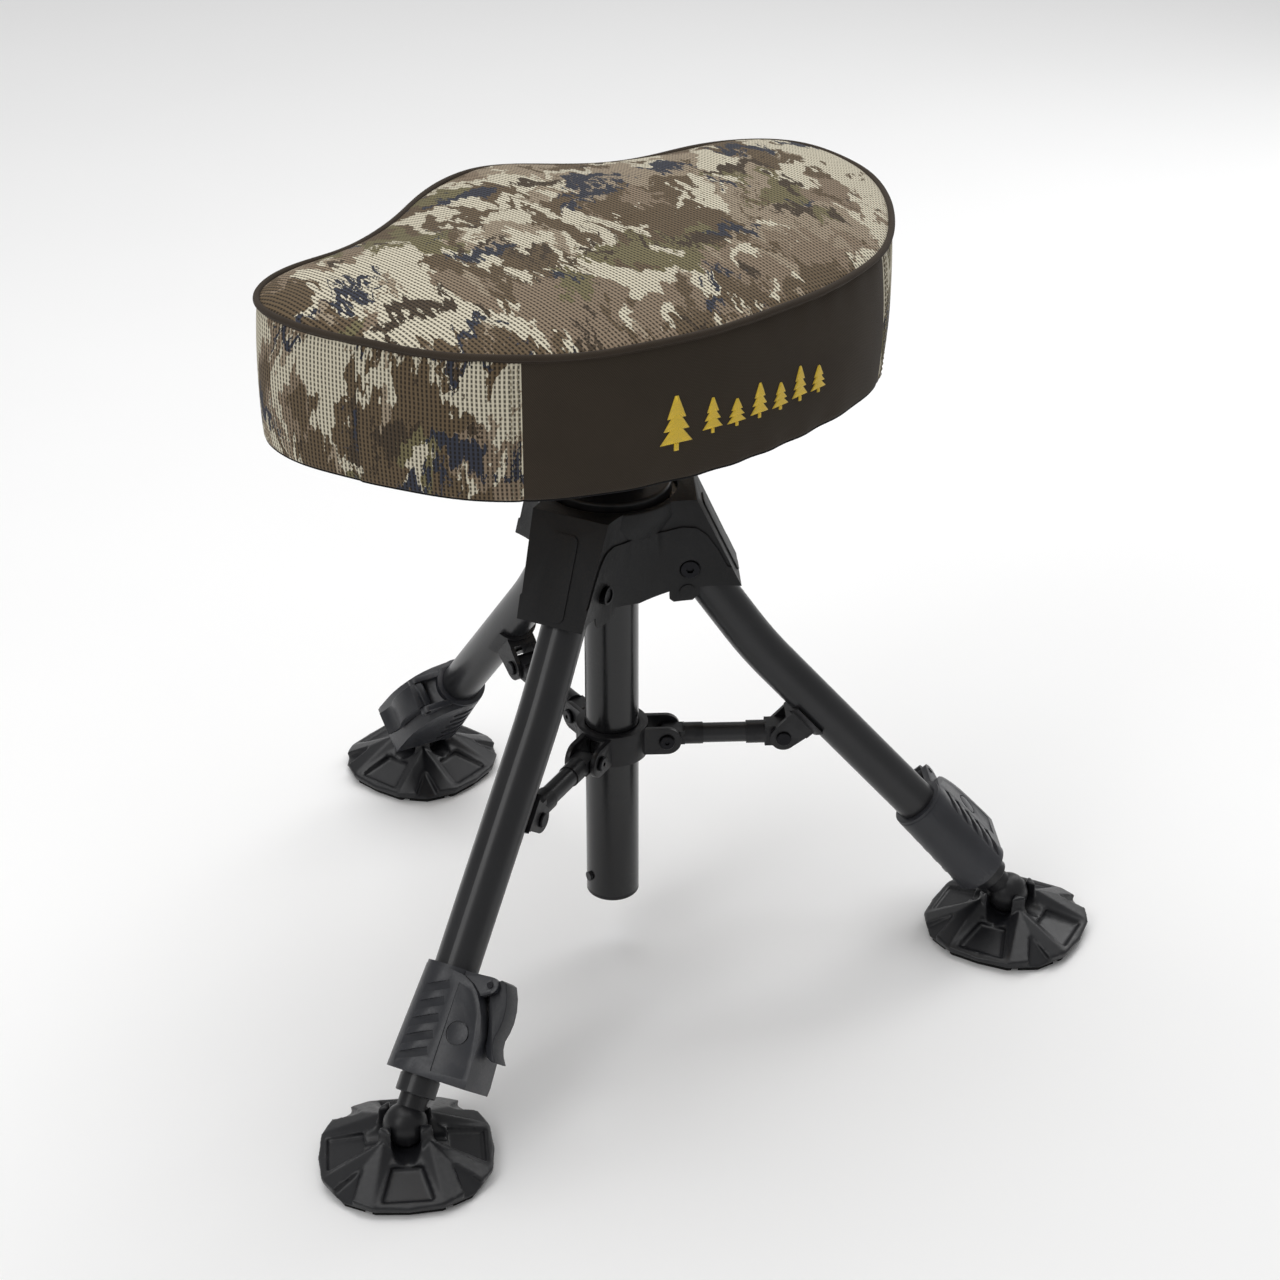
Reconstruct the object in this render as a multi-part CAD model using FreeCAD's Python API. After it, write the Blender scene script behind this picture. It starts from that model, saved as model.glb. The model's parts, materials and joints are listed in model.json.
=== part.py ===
import FreeCAD, Part
import math
import os
from FreeCAD import Vector, Rotation, Placement

# Three-legged folding swivel stool with a padded, saddle-shaped seat.
# Millimetres.  Z is up and the floor is z = 0.  The centre post stands at
# x = 0, y = POST_Y so that the origin is the middle of the footprint.
# Each leg is drawn in its own frame: X points outwards from the post, Y is
# the counter-clockwise tangent, Z is up.

# ---- feet and legs
FOOT_REACH = 246.3          # post axis to ball centre
POST_Y = -FOOT_REACH / 4.0
LEG_AZIMUTH = {"a": -150.0, "b": -30.0, "c": 90.0}
BALL_Z = 26.2
BALL_R = 12.5
SOCKET_R = 12.8
HINGE_R = 44.7
HINGE_Z = 267.6
UPPER_LEAN = 34.5           # from the vertical, degrees
LOWER_LEAN = 41.5
BEND_R = 260.0
TUBE_R = 12.7
TUBE_BORE = 11.2
INNER_R = 10.9
INNER_WALL = 1.2
INNER_TOP = 190.0           # along the lower leg, from the ball centre
OUTER_END = 30.0
FERRULE_R = 11.5
FERRULE_FROM = 17.0
FERRULE_TO = 27.0
NECK_R = 8.1

# ---- hub, post and swivel
POST_R = 16.0
POST_BORE = 14.0
POST_BOTTOM = 37.5
POST_TOP = 304.0
BUTTON_Z = 51.6
HUB_BOTTOM = 250.0
LUG_BOTTOM = 246.0
HUB_TOP = 314.0
HUB_LOW_REACH = 77.7
HUB_LOW_HALF = 19.2
HUB_LOW_WAIST = 29.6
HUB_TOP_REACH = 48.0
HUB_TOP_HALF = 24.0
HUB_TOP_WAIST = 36.0
TURRET_R = 41.8
NUT_R = 5.4
SLOT_HALF = 15.8
SLOT_ROOF = 286.0
SLOT_FROM = 28.4
HUB_WALL = 4.0
BOLT_R = 4.0
KNUCKLE_R = 15.3
KNUCKLE_HALF = 15.4
KNUCKLE_END = 14.0
STEM_R = 12.7
STEM_WALL = 2.0
STEM_BOTTOM = 214.0
RUN = 0.05                  # radial clearance of a running fit

# ---- spreader
SPREAD_Z = 147.0
COLLAR_PIVOT_R = 32.5
LEG_PIVOT_R = 102.5
COLLAR_BORE = 16.4
COLLAR_R = 21.5
COLLAR_HALF = 10.0
EAR_IN = 6.4
EAR_OUT = 9.2
PIN_R = 3.0
INNER_EYE_R = 4.4
OUTER_EYE_R = 6.6
ROD_R = 6.0

# ---- clamp
CLAMP_FROM = 28.0
CLAMP_TO = 90.5
CLAMP_FLAT = 36.0
LEVER_PIN_Y = 28.5
LEVER_PIN_W = 86.4
LEVER_PIN_R = 1.75
# side view of the clamp on the lever side: (across the leg, up the leg)
CLAMP_BACK = [
    (35.0, 28.0), (35.3, 33.0), (34.4, 52.0), (33.4, 60.0), (31.0, 68.0),
    (27.6, 75.0), (24.0, 80.5), (19.5, 84.5), (13.0, 87.5), (5.0, 88.5),
]

# ---- foot
CUP_R = 17.0
CUP_TOP = BALL_Z + 6.0
FOOT_TURN = {"a": 33.0, "b": -30.0, "c": 20.0}

# ---- seat
SEAT_TURN = 99.0            # heading of the front bulge
SEAT_BOTTOM = 378.5
BOARD_T = 6.0
PLATE_T = 3.0
# The line of the piping seen from above: (sideways, forwards) of the post
SEAT_OUTLINE = [
    (0.0, -128.5), (37.0, -125.5), (76.0, -117.5), (112.0, -101.5),
    (142.0, -77.0), (168.0, -47.5), (187.0, -15.0), (196.0, 17.0),
    (194.5, 44.0), (176.0, 72.0), (150.0, 85.0), (115.0, 90.5),
    (95.0, 96.0), (75.0, 105.5), (57.0, 119.5), (42.0, 133.5),
    (24.0, 142.0), (4.0, 141.0), (-12.0, 136.5), (-36.0, 126.0),
    (-64.0, 109.0), (-95.0, 95.5), (-122.0, 89.5), (-150.0, 87.0),
    (-177.0, 76.5), (-193.0, 56.0), (-195.5, 30.0), (-188.5, 2.0),
    (-172.0, -43.0), (-146.0, -80.0), (-112.0, -104.5), (-76.0, -118.5),
    (-38.0, -126.5),
]
# (height above the floor, scale of the outline)
SEAT_SECTIONS = [
    (378.5, 0.982), (379.6, 0.993), (382.0, 0.999), (388.0, 1.004),
    (420.0, 1.008), (445.0, 1.005), (454.0, 1.008), (456.0, 1.014),
    (459.5, 1.014), (461.0, 0.985), (463.0, 0.962), (465.0, 0.934),
    (467.0, 0.893), (469.0, 0.822), (470.8, 0.722), (472.3, 0.545),
    (473.0, 0.30),
]

X = Vector(1, 0, 0)
Y = Vector(0, 1, 0)
Z = Vector(0, 0, 1)


def save(name, shape):
    shape.exportStep("parts/" + name + ".step")


def group(shapes):
    return Part.makeCompound(shapes)


def at_post(shape):
    moved = shape.copy()
    moved.translate(Vector(0, POST_Y, 0))
    return moved


def at_leg(shape, azimuth):
    moved = shape.copy()
    moved.rotate(Vector(0, 0, 0), Z, azimuth)
    moved.translate(Vector(0, POST_Y, 0))
    return moved


def along_leg(shape):
    """From the lower-leg frame (Z up the leg from the ball) to the leg frame."""
    moved = shape.copy()
    moved.Placement = Placement(
        Vector(FOOT_REACH, 0, BALL_Z), Rotation(Y, -LOWER_LEAN)
    ).multiply(moved.Placement)
    return moved


def bar(length_axis, start, radius, length):
    return Part.makeCylinder(radius, length, start, length_axis)


def ring(radius, bore, low, high):
    outer = Part.makeCylinder(radius, high - low, Vector(0, 0, low))
    inner = Part.makeCylinder(bore, high - low + 2, Vector(0, 0, low - 1))
    return outer.cut(inner)


def prism(points, direction):
    wire = Part.makePolygon(points + [points[0]])
    return Part.Face(wire).extrude(direction)


def box(x0, x1, y0, y1, z0, z1):
    return Part.makeBox(x1 - x0, y1 - y0, z1 - z0, Vector(x0, y0, z0))


def round_off(shape, radius, pick):
    edges = [e for e in shape.Edges if pick(e)]
    return shape.makeFillet(radius, edges)


# ------------------------------------------------------------------ the legs
def upper_point(s):
    a = math.radians(UPPER_LEAN)
    return Vector(HINGE_R + s * math.sin(a), 0, HINGE_Z - s * math.cos(a))


def lower_point(w):
    a = math.radians(LOWER_LEAN)
    return Vector(FOOT_REACH - w * math.sin(a), 0, BALL_Z + w * math.cos(a))


def knee():
    """Where the two straight centre lines of the leg meet."""
    a = math.radians(UPPER_LEAN)
    b = math.radians(LOWER_LEAN)
    dx = FOOT_REACH - HINGE_R
    dz = HINGE_Z - BALL_Z
    det = math.sin(a) * math.cos(b) - math.sin(b) * math.cos(a)
    s = (dx * math.cos(b) - dz * math.sin(b)) / det
    w = (dz * math.sin(a) - dx * math.cos(a)) / det
    return s, w


def tube_along(radius, first, last):
    s, w = knee()
    half = math.radians(LOWER_LEAN - UPPER_LEAN) / 2.0
    reach = BEND_R * math.tan(half)
    p1 = upper_point(s - reach)
    p2 = lower_point(w - reach)
    corner = upper_point(s)
    chord = (p1 + p2) * 0.5
    # the arc's middle lies between its chord and the corner
    sag = BEND_R * (1.0 - math.cos(half))
    mid = chord.add((corner - chord).normalize() * sag)
    a = upper_point(first)
    b = lower_point(last)
    path = Part.Wire([
        Part.makeLine(a, p1),
        Part.Arc(p1, mid, p2).toShape(),
        Part.makeLine(p2, b),
    ])
    start = p1.sub(a)
    disc = Part.Wire(Part.makeCircle(radius, a, start))
    return path.makePipeShell([disc], True, True)


def leg_tube():
    outer = tube_along(TUBE_R, 5.5, OUTER_END)
    inner = tube_along(TUBE_BORE, 4.5, OUTER_END - 1.0)
    return outer.cut(inner)


def leg_knuckle():
    hinge = Vector(HINGE_R, -KNUCKLE_HALF, HINGE_Z)
    barrel = bar(Y, hinge, KNUCKLE_R, 2 * KNUCKLE_HALF)
    start = upper_point(0)
    run = upper_point(1).sub(start)
    sleeve = bar(run, start, KNUCKLE_R, KNUCKLE_END)
    body = barrel.fuse(sleeve)
    socket = bar(run, upper_point(5.5), TUBE_R, 30)
    bolt_hole = bar(Y, Vector(HINGE_R, -30, HINGE_Z), BOLT_R + RUN, 60)
    return body.cut(socket).cut(bolt_hole).removeSplitter()


def pivot_on_leg():
    """The spreader pivot in the lower-leg frame: (off the axis, along it)."""
    a = math.radians(LOWER_LEAN)
    dx = LEG_PIVOT_R - FOOT_REACH
    dz = SPREAD_Z - BALL_Z
    return dx * math.cos(a) + dz * math.sin(a), dz * math.cos(a) - dx * math.sin(a)


def leg_bracket():
    e, w = pivot_on_leg()
    saddle = ring(TUBE_R + 2.4, TUBE_R, w - 11.5, w + 11.5)
    saddle = saddle.cut(box(-7.0, 30, -30, 30, w - 20, w + 20))
    pad = box(-TUBE_R - 5.0, -8.0, -EAR_OUT, EAR_OUT, w - 9.5, w + 9.5)
    pad = pad.cut(Part.makeCylinder(TUBE_R, 40, Vector(0, 0, w - 20)))
    body = saddle.fuse(pad)
    for y0, y1 in ((-EAR_OUT, -EAR_IN), (EAR_IN, EAR_OUT)):
        eye = bar(Y, Vector(e, y0, w), 8.0, y1 - y0)
        web = prism([
            Vector(e, y0, w - 8.0),
            Vector(e, y0, w + 8.0),
            Vector(-TUBE_R + 0.6, y0, w + 9.5),
            Vector(-TUBE_R + 0.6, y0, w - 9.5),
        ], Vector(0, y1 - y0, 0))
        web = web.cut(Part.makeCylinder(TUBE_R, 40, Vector(0, 0, w - 20)))
        body = body.fuse(eye).fuse(web)
    hole = bar(Y, Vector(e, -20, w), PIN_R, 40)
    rivet = bar(X, Vector(-TUBE_R - 6.2, 0, w), 2.6, 5.0)
    return along_leg(body.cut(hole).fuse(rivet).removeSplitter())


def domed_pin(x, z, y0, y1, radius, head_r):
    """Pin along Y with a domed head outside each end."""
    shaft = bar(Y, Vector(x, y0, z), radius, y1 - y0)
    for y, way in ((y0, -1), (y1, 1)):
        head = bar(Vector(0, way, 0), Vector(x, y, z), head_r, 1.9)
        head = round_off(head, 0.9, lambda e: rim_at(e, y + way * 1.9))
        shaft = shaft.fuse(head)
    return shaft.removeSplitter()


def rim_at(edge, y):
    box_ = edge.BoundBox
    return abs(box_.YMin - y) < 1e-4 and abs(box_.YMax - y) < 1e-4


def bracket_pin():
    e, w = pivot_on_leg()
    return along_leg(domed_pin(e, w, -EAR_OUT, EAR_OUT, PIN_R, 4.5))


def inner_tube():
    tube = ring(INNER_R, INNER_R - INNER_WALL, FERRULE_TO, INNER_TOP)
    ferrule = ring(FERRULE_R, 6.0, FERRULE_FROM, FERRULE_TO)
    ferrule = round_off(ferrule, 0.8, lambda e: flat_circle(e, FERRULE_R, FERRULE_FROM))
    return along_leg(tube.fuse(ferrule))


def flat_circle(edge, radius, z):
    curve = edge.Curve
    if not isinstance(curve, Part.Circle):
        return False
    return abs(curve.Radius - radius) < 1e-3 and abs(edge.BoundBox.ZMin - z) < 1e-3


def ball_stud():
    ball = Part.makeSphere(BALL_R)
    neck = Part.makeCylinder(NECK_R, FERRULE_FROM - 9.0, Vector(0, 0, 9.0))
    plug = Part.makeCylinder(6.0, 9.5, Vector(0, 0, FERRULE_FROM - 0.5))
    return along_leg(ball.fuse(neck).fuse(plug).removeSplitter())


# ----------------------------------------------------------------- the clamp
def clamp_section(w, grip, half):
    """Outline across the leg: round on the grip side, square by the lever."""
    a = Vector(-half, 2.0, w)
    b = Vector(half, 2.0, w)
    low = Vector(0, -grip, w)
    c = Vector(half - 1.0, CLAMP_FLAT, w)
    d = Vector(1.0 - half, CLAMP_FLAT, w)
    return Part.Wire([
        Part.Arc(a, low, b).toShape(),
        Part.makeLine(b, c),
        Part.makeLine(c, d),
        Part.makeLine(d, a),
    ])


def clamp_profile():
    """Side view of the clamp: straight grip, back swept in towards the top."""
    outline = [(-30.0, CLAMP_FROM)] + CLAMP_BACK + [(-30.0, 88.5)]
    return prism([Vector(-30, y, w) for y, w in outline], Vector(60, 0, 0))


def clamp_face_recess():
    """Shallow sunk panel on the outward face, inside a rolled border."""
    inner = [(12.0, CLAMP_FROM + 4.0)]
    inner += [(y - 3.6, w) for y, w in CLAMP_BACK[1:7]]
    inner += [(12.0, 83.0)]
    return prism([Vector(15.9, y, w) for y, w in inner], Vector(6.0, 0, 0))


def clamp_body():
    body = Part.makeLoft([
        clamp_section(CLAMP_FROM, 20.5, 17.0),
        clamp_section(CLAMP_FROM + 9.0, 20.0, 17.0),
        clamp_section(CLAMP_TO, 16.6, 16.4),
    ], True, True).common(clamp_profile())
    body = body.fuse(ring(16.4, 10.0, CLAMP_TO - 10.0, CLAMP_TO))
    # five slanted finger grooves on both faces of the grip
    for k in range(5):
        for way in (-1, 1):
            groove = box(15.4, 30, -12.5, 7.5, -2.4, 2.4)
            groove.rotate(Vector(0, 0, 0), X, 24)
            groove.rotate(Vector(0, 0, 0), Z, 0 if way > 0 else 180)
            if way < 0:
                groove.translate(Vector(0, -5.0, 0))
            groove.translate(Vector(0, 0, CLAMP_FROM + 11.0 + 9.6 * k))
            body = body.cut(groove)
    body = body.cut(clamp_face_recess())
    seal = bar(X, Vector(15.0, 20.5, CLAMP_FROM + 28), 7.0, 3.0)
    seal = seal.cut(bar(X, Vector(14.0, 20.5, CLAMP_FROM + 28), 6.2, 5.0))
    body = body.cut(seal)
    # two lugs carry the lever pin
    for x0, x1 in ((-12.2, -8.4), (8.4, 12.2)):
        lug = bar(X, Vector(x0, LEVER_PIN_Y, LEVER_PIN_W), 4.6, x1 - x0)
        web = prism([
            Vector(x0, 12.0, LEVER_PIN_W + 3.6),
            Vector(x0, LEVER_PIN_Y, LEVER_PIN_W + 4.6),
            Vector(x0, LEVER_PIN_Y + 2.0, LEVER_PIN_W - 4.2),
            Vector(x0, 22.0, LEVER_PIN_W - 9.0),
            Vector(x0, 12.0, LEVER_PIN_W - 9.0),
        ], Vector(x1 - x0, 0, 0))
        body = body.fuse(lug).fuse(web)
    body = body.cut(Part.makeCylinder(TUBE_R, 100, Vector(0, 0, OUTER_END)))
    body = body.cut(Part.makeCylinder(FERRULE_R + 0.4, 20, Vector(0, 0, CLAMP_FROM - 5)))
    body = body.cut(bar(X, Vector(-20, LEVER_PIN_Y, LEVER_PIN_W), LEVER_PIN_R, 40))
    return along_leg(body.removeSplitter())


def lever_pin():
    pin = bar(X, Vector(-12.8, LEVER_PIN_Y, LEVER_PIN_W), LEVER_PIN_R, 25.6)
    return along_leg(pin)


def clamp_lever():
    """Curved blade, drawn as (away from the pin, down the leg) points."""
    half = 8.0
    outer = [
        (4.0, -4.6), (7.0, -3.6), (9.8, 2.3), (11.6, 9.0), (12.2, 16.0), (11.6, 21.5),
        (10.4, 26.5), (10.8, 31.0), (12.4, 35.0), (15.3, 39.3),
    ]
    inner = [
        (13.0, 39.6), (9.2, 37.6), (6.9, 33.0), (5.9, 26.0), (3.9, 18.5),
        (1.2, 11.0), (-0.4, 5.0), (-2.0, 0.0),
    ]
    side = [
        Vector(-half, LEVER_PIN_Y + away, LEVER_PIN_W - down) for away, down in outer + inner
    ]
    body = prism(side, Vector(2 * half, 0, 0))
    body = body.fuse(bar(X, Vector(-half, LEVER_PIN_Y, LEVER_PIN_W), 3.9, 2 * half))
    body = body.cut(bar(X, Vector(-20, LEVER_PIN_Y, LEVER_PIN_W), LEVER_PIN_R + RUN, 40))
    return along_leg(body.removeSplitter())


# ------------------------------------------------------------------ the feet
def foot_ring(radii, heights):
    """Sixteen points round the foot; the lists repeat every quarter turn."""
    points = []
    for k in range(16):
        a = math.radians(22.5 * k)
        r = radii[k % 4]
        points.append(Vector(r * math.cos(a), r * math.sin(a), heights[k % 4]))
    return points


def facets(low, high):
    """Flat triangles between two rings, split the same way in mirrored pairs."""
    faces = []
    for k in range(16):
        n = (k + 1) % 16
        pair = ((low[k], low[n], high[n]), (low[k], high[n], high[k]))
        if k % 4 > 1:
            pair = ((low[k], low[n], high[k]), (low[n], high[n], high[k]))
        for tri in pair:
            faces.append(Part.Face(Part.makePolygon(list(tri) + [tri[0]])))
    return faces


def foot_pyramid():
    """Low eight-sided hill: ridges on the diagonals, falls between them."""
    base = foot_ring((48.0, 50.0, 51.5, 50.0), (3.0, 3.0, 3.0, 3.0))
    edge = foot_ring((49.5, 51.5, 53.5, 51.5), (6.5, 7.5, 9.5, 7.5))
    crest = foot_ring((18.0, 18.0, 18.0, 18.0), (16.0, 19.5, 25.0, 19.5))
    faces = facets(base, edge) + facets(edge, crest)
    top = Vector(0, 0, 20.0)
    for k in range(16):
        tri = [crest[k], crest[(k + 1) % 16], top]
        faces.append(Part.Face(Part.makePolygon(tri + [tri[0]])))
    faces.append(Part.Face(Part.makePolygon(base + [base[0]])))
    body = Part.Solid(Part.makeShell(faces))
    if body.Volume < 0:
        body.reverse()
    return body


def sunk_panel(points, r, z, slope, turn):
    """Cutter with a flat floor that leans with the side of the foot."""
    cutter = prism([Vector(x, y, 0) for x, y in points], Vector(0, 0, 14.0))
    cutter.rotate(Vector(0, 0, 0), Y, slope)
    cutter.translate(Vector(r, 0, z))
    cutter.rotate(Vector(0, 0, 0), Z, turn)
    return cutter


def foot_plate(leg):
    """Faceted pad with a notched cup that holds the ball."""
    body = foot_pyramid()
    for turn in (0, 90, 180, 270):
        panel = [(0.0, -8.5), (0.0, 8.5), (22.0, 14.5), (22.0, -14.5)]
        body = body.cut(sunk_panel(panel, 22.5, 12.9, 17.0, turn))
        dent = [(0.0, 0.0), (26.0, 10.0), (26.0, -10.0)]
        body = body.cut(sunk_panel(dent, 34.0, 16.6, 36.0, turn + 45))
    cup = Part.makeCone(CUP_R + 2.0, CUP_R, CUP_TOP - 8.0, Vector(0, 0, 8.0))
    cup = round_off(cup, 1.2, lambda e: flat_circle(e, CUP_R, CUP_TOP))
    body = body.fuse(cup)
    for turn in (0, 90, 180, 270):
        notch = bar(X, Vector(8.5, 0, BALL_Z - 3.0), 8.0, 30)
        notch = notch.fuse(box(8.5, 38.5, -8.0, 8.0, BALL_Z - 3.0, BALL_Z + 20))
        notch.rotate(Vector(0, 0, 0), Z, turn)
        body = body.cut(notch)
    body.rotate(Vector(0, 0, 0), Z, FOOT_TURN[leg])
    centre = Vector(0, 0, BALL_Z)
    body = body.cut(Part.makeSphere(SOCKET_R, centre))
    # room for the leg's neck as the foot tips
    for lean in range(15, 52, 6):
        a = math.radians(lean)
        body = body.cut(bar(Vector(-math.sin(a), 0, math.cos(a)), centre, 9.0, 60))
    body = max(body.Solids, key=lambda solid: solid.Volume)
    body.translate(Vector(FOOT_REACH, 0, 0))
    return body


def foot_sole(leg):
    """Rubber sole with drainage grooves between its tread blocks."""
    outline = foot_ring((45.5, 47.5, 49.0, 47.5), (0.0, 0.0, 0.0, 0.0))
    sole = prism(outline, Vector(0, 0, 3.0))
    for turn in (0, 90):
        for offset in (-22.0, 22.0):
            groove = box(-60, 60, offset - 2.0, offset + 2.0, -1.0, 1.4)
            groove.rotate(Vector(0, 0, 0), Z, turn)
            sole = sole.cut(groove)
    sole.rotate(Vector(0, 0, 0), Z, FOOT_TURN[leg])
    sole.translate(Vector(FOOT_REACH, 0, 0))
    return sole


# ----------------------------------------------------------------- the struts
def strut_rod():
    start = COLLAR_PIVOT_R + 13.0
    end = LEG_PIVOT_R - 13.0
    return bar(X, Vector(start, 0, SPREAD_Z), ROD_R, end - start)


def strut_ends():
    """Forked-over tongues pressed on the rod, one at each pivot."""
    solids = []
    spans = (
        (COLLAR_PIVOT_R, 1, INNER_EYE_R, 6.6, PIN_R + 0.25),
        (LEG_PIVOT_R, -1, OUTER_EYE_R, 6.95, PIN_R + RUN),
    )
    for x, way, eye_r, ferrule_r, hole_r in spans:
        eye = bar(Y, Vector(x, -6.0, SPREAD_Z), eye_r, 12.0)
        low = x if way > 0 else x - 11.0
        high = x + 11.0 if way > 0 else x
        tongue = box(low, high, -6.0, 6.0, SPREAD_Z - eye_r, SPREAD_Z + eye_r)
        cap = bar(X * way, Vector(x + 10.0 * way, 0, SPREAD_Z), ferrule_r, 12.0)
        body = eye.fuse(tongue).fuse(cap)
        rod = bar(X * way, Vector(x + 13.0 * way, 0, SPREAD_Z), ROD_R, 20.0)
        hole = bar(Y, Vector(x, -10, SPREAD_Z), hole_r, 20.0)
        solids.append(body.cut(rod).cut(hole).removeSplitter())
    return solids


def slide_collar():
    low = SPREAD_Z - COLLAR_HALF
    high = SPREAD_Z + COLLAR_HALF
    body = ring(COLLAR_R, COLLAR_BORE, low, high)
    for azimuth in LEG_AZIMUTH.values():
        slot = box(COLLAR_BORE - 6, 60, -6.9, 6.9, low - 5, high - 3.2)
        slot.rotate(Vector(0, 0, 0), Z, azimuth)
        body = body.cut(slot)
    for azimuth in LEG_AZIMUTH.values():
        for y0, y1 in ((-9.9, -6.9), (6.9, 9.9)):
            eye = bar(Y, Vector(COLLAR_PIVOT_R, y0, SPREAD_Z), 8.7, y1 - y0)
            web = box(12.0, COLLAR_PIVOT_R, y0, y1, SPREAD_Z - 8.7, SPREAD_Z + 8.7)
            web = web.cut(Part.makeCylinder(COLLAR_BORE, 200))
            ear = eye.fuse(web)
            ear = ear.cut(bar(Y, Vector(COLLAR_PIVOT_R, -20, SPREAD_Z), PIN_R, 40))
            ear.rotate(Vector(0, 0, 0), Z, azimuth)
            body = body.fuse(ear)
    return at_post(body.removeSplitter())


def collar_screws():
    """A short button screw in every ear; the gap between ears stays open."""
    solids = []
    for azimuth in LEG_AZIMUTH.values():
        for way in (-1, 1):
            start = Vector(COLLAR_PIVOT_R, 6.9 * way, SPREAD_Z)
            shaft = bar(Y * way, start, PIN_R, 3.0)
            face = Vector(COLLAR_PIVOT_R, 9.9 * way, SPREAD_Z)
            head = bar(Y * way, face, 4.6, 2.2)
            head = round_off(head, 1.0, lambda e: rim_at(e, 12.1 * way))
            key = hexagon(1.5, Vector(COLLAR_PIVOT_R, 11.0 * way, SPREAD_Z), Y * way, 3.0)
            solids.append(at_leg(shaft.fuse(head).cut(key), azimuth))
    return group(solids)


def hexagon(radius, centre, direction, length):
    points = []
    for k in range(6):
        a = math.radians(60 * k)
        points.append(Vector(radius * math.cos(a), radius * math.sin(a), 0))
    solid = prism(points, Vector(0, 0, length))
    solid.Placement = Placement(centre, Rotation(Z, direction))
    return solid


# ------------------------------------------------------------------- the hub
def star(z, grow):
    """Three-armed outline at one height: straight arm ends, hollow walls."""
    t = (z - HUB_BOTTOM) / (HUB_TOP - HUB_BOTTOM)
    reach = end_face_r(z)
    half = HUB_LOW_HALF + t * (HUB_TOP_HALF - HUB_LOW_HALF) + grow
    waist = HUB_LOW_WAIST + t * (HUB_TOP_WAIST - HUB_LOW_WAIST) + grow
    edges = []
    for k in range(3):
        a = math.radians(-150.0 + 120.0 * k)
        n = math.radians(-150.0 + 120.0 * (k + 1))
        m = (a + n) / 2.0
        left = arm_corner(a, reach, -half, z)
        right = arm_corner(a, reach, half, z)
        following = arm_corner(n, reach, -half, z)
        hollow = Vector(waist * math.cos(m), waist * math.sin(m), z)
        edges.append(Part.makeLine(left, right))
        edges.append(Part.Arc(right, hollow, following).toShape())
    return Part.Wire(edges)


def arm_corner(a, reach, side, z):
    return Vector(
        reach * math.cos(a) - side * math.sin(a),
        reach * math.sin(a) + side * math.cos(a),
        z,
    )


def end_face_r(z):
    t = (z - HUB_BOTTOM) / (HUB_TOP - HUB_BOTTOM)
    return HUB_LOW_REACH + t * (HUB_TOP_REACH - HUB_LOW_REACH)


def star_body(grow):
    return Part.makeLoft([star(LUG_BOTTOM - 2.0, grow), star(HUB_TOP, grow)], True, True)


def side_prism(side):
    """Slab across an arm, cut to a side view of (outwards, up) points."""
    return prism([Vector(x, -40, z) for x, z in side], Vector(0, 80, 0))


def cheek_region():
    """Side view of the raised panel that runs from arm to arm."""
    return side_prism([
        (0.0, 240.0), (90.0, 240.0), (90.0, 262.0),
        (66.0, 270.0), (60.0, 282.0), (54.0, 291.0), (48.0, 295.5),
        (40.0, 296.5), (31.0, 295.0), (0.0, 294.0),
    ])


def underside_cut():
    """The bottom edge rises from the middle of each wall to the arm's end.

    A stop lug with clipped corners is left standing below each cheek.
    """
    return side_prism([
        (15.0, 230.0), (15.0, HUB_BOTTOM), (33.0, 253.6), (33.0, LUG_BOTTOM + 2.5),
        (35.5, LUG_BOTTOM), (46.5, LUG_BOTTOM), (49.5, LUG_BOTTOM + 3.0),
        (51.0, 255.0), (95.0, 258.5), (95.0, 230.0),
    ])


def arm_cavity():
    """The hollow under one arm that the leg's knuckle turns in."""
    roof = SLOT_ROOF
    low = HUB_BOTTOM - 8
    side = [
        (SLOT_FROM, low), (SLOT_FROM, roof - 6.0),
        (SLOT_FROM + 6.0, roof), (end_face_r(roof) - HUB_WALL * 1.1, roof),
        (end_face_r(low) - HUB_WALL * 1.1, low),
    ]
    points = [Vector(x, -SLOT_HALF, z) for x, z in side]
    return prism(points, Vector(0, 2 * SLOT_HALF, 0))


def end_badge():
    """Plain raised panel on the sloping end of an arm."""
    slope = math.degrees(math.atan2(HUB_LOW_REACH - HUB_TOP_REACH, HUB_TOP - HUB_BOTTOM))
    pad = box(-2.0, 1.0, -8.0, 8.0, -25.0, 25.0)
    pad = round_off(pad, 4.0, lambda e: abs(e.BoundBox.XLength - 3.0) < 1e-4)
    pad.rotate(Vector(0, 0, 0), Y, -slope)
    middle = (HUB_BOTTOM + HUB_TOP) / 2.0
    pad.translate(Vector(end_face_r(middle), 0, middle))
    return pad


def turret():
    """Round rim that carries the bearing and flares out of the hollow walls."""
    flare = Part.makeCone(35.5, TURRET_R, 12.0, Vector(0, 0, 293.0))
    rim = Part.makeCylinder(TURRET_R, HUB_TOP - 305.0, Vector(0, 0, 305.0))
    rim = round_off(rim, 1.2, lambda e: flat_circle(e, TURRET_R, HUB_TOP))
    return flare.fuse(rim)


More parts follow.
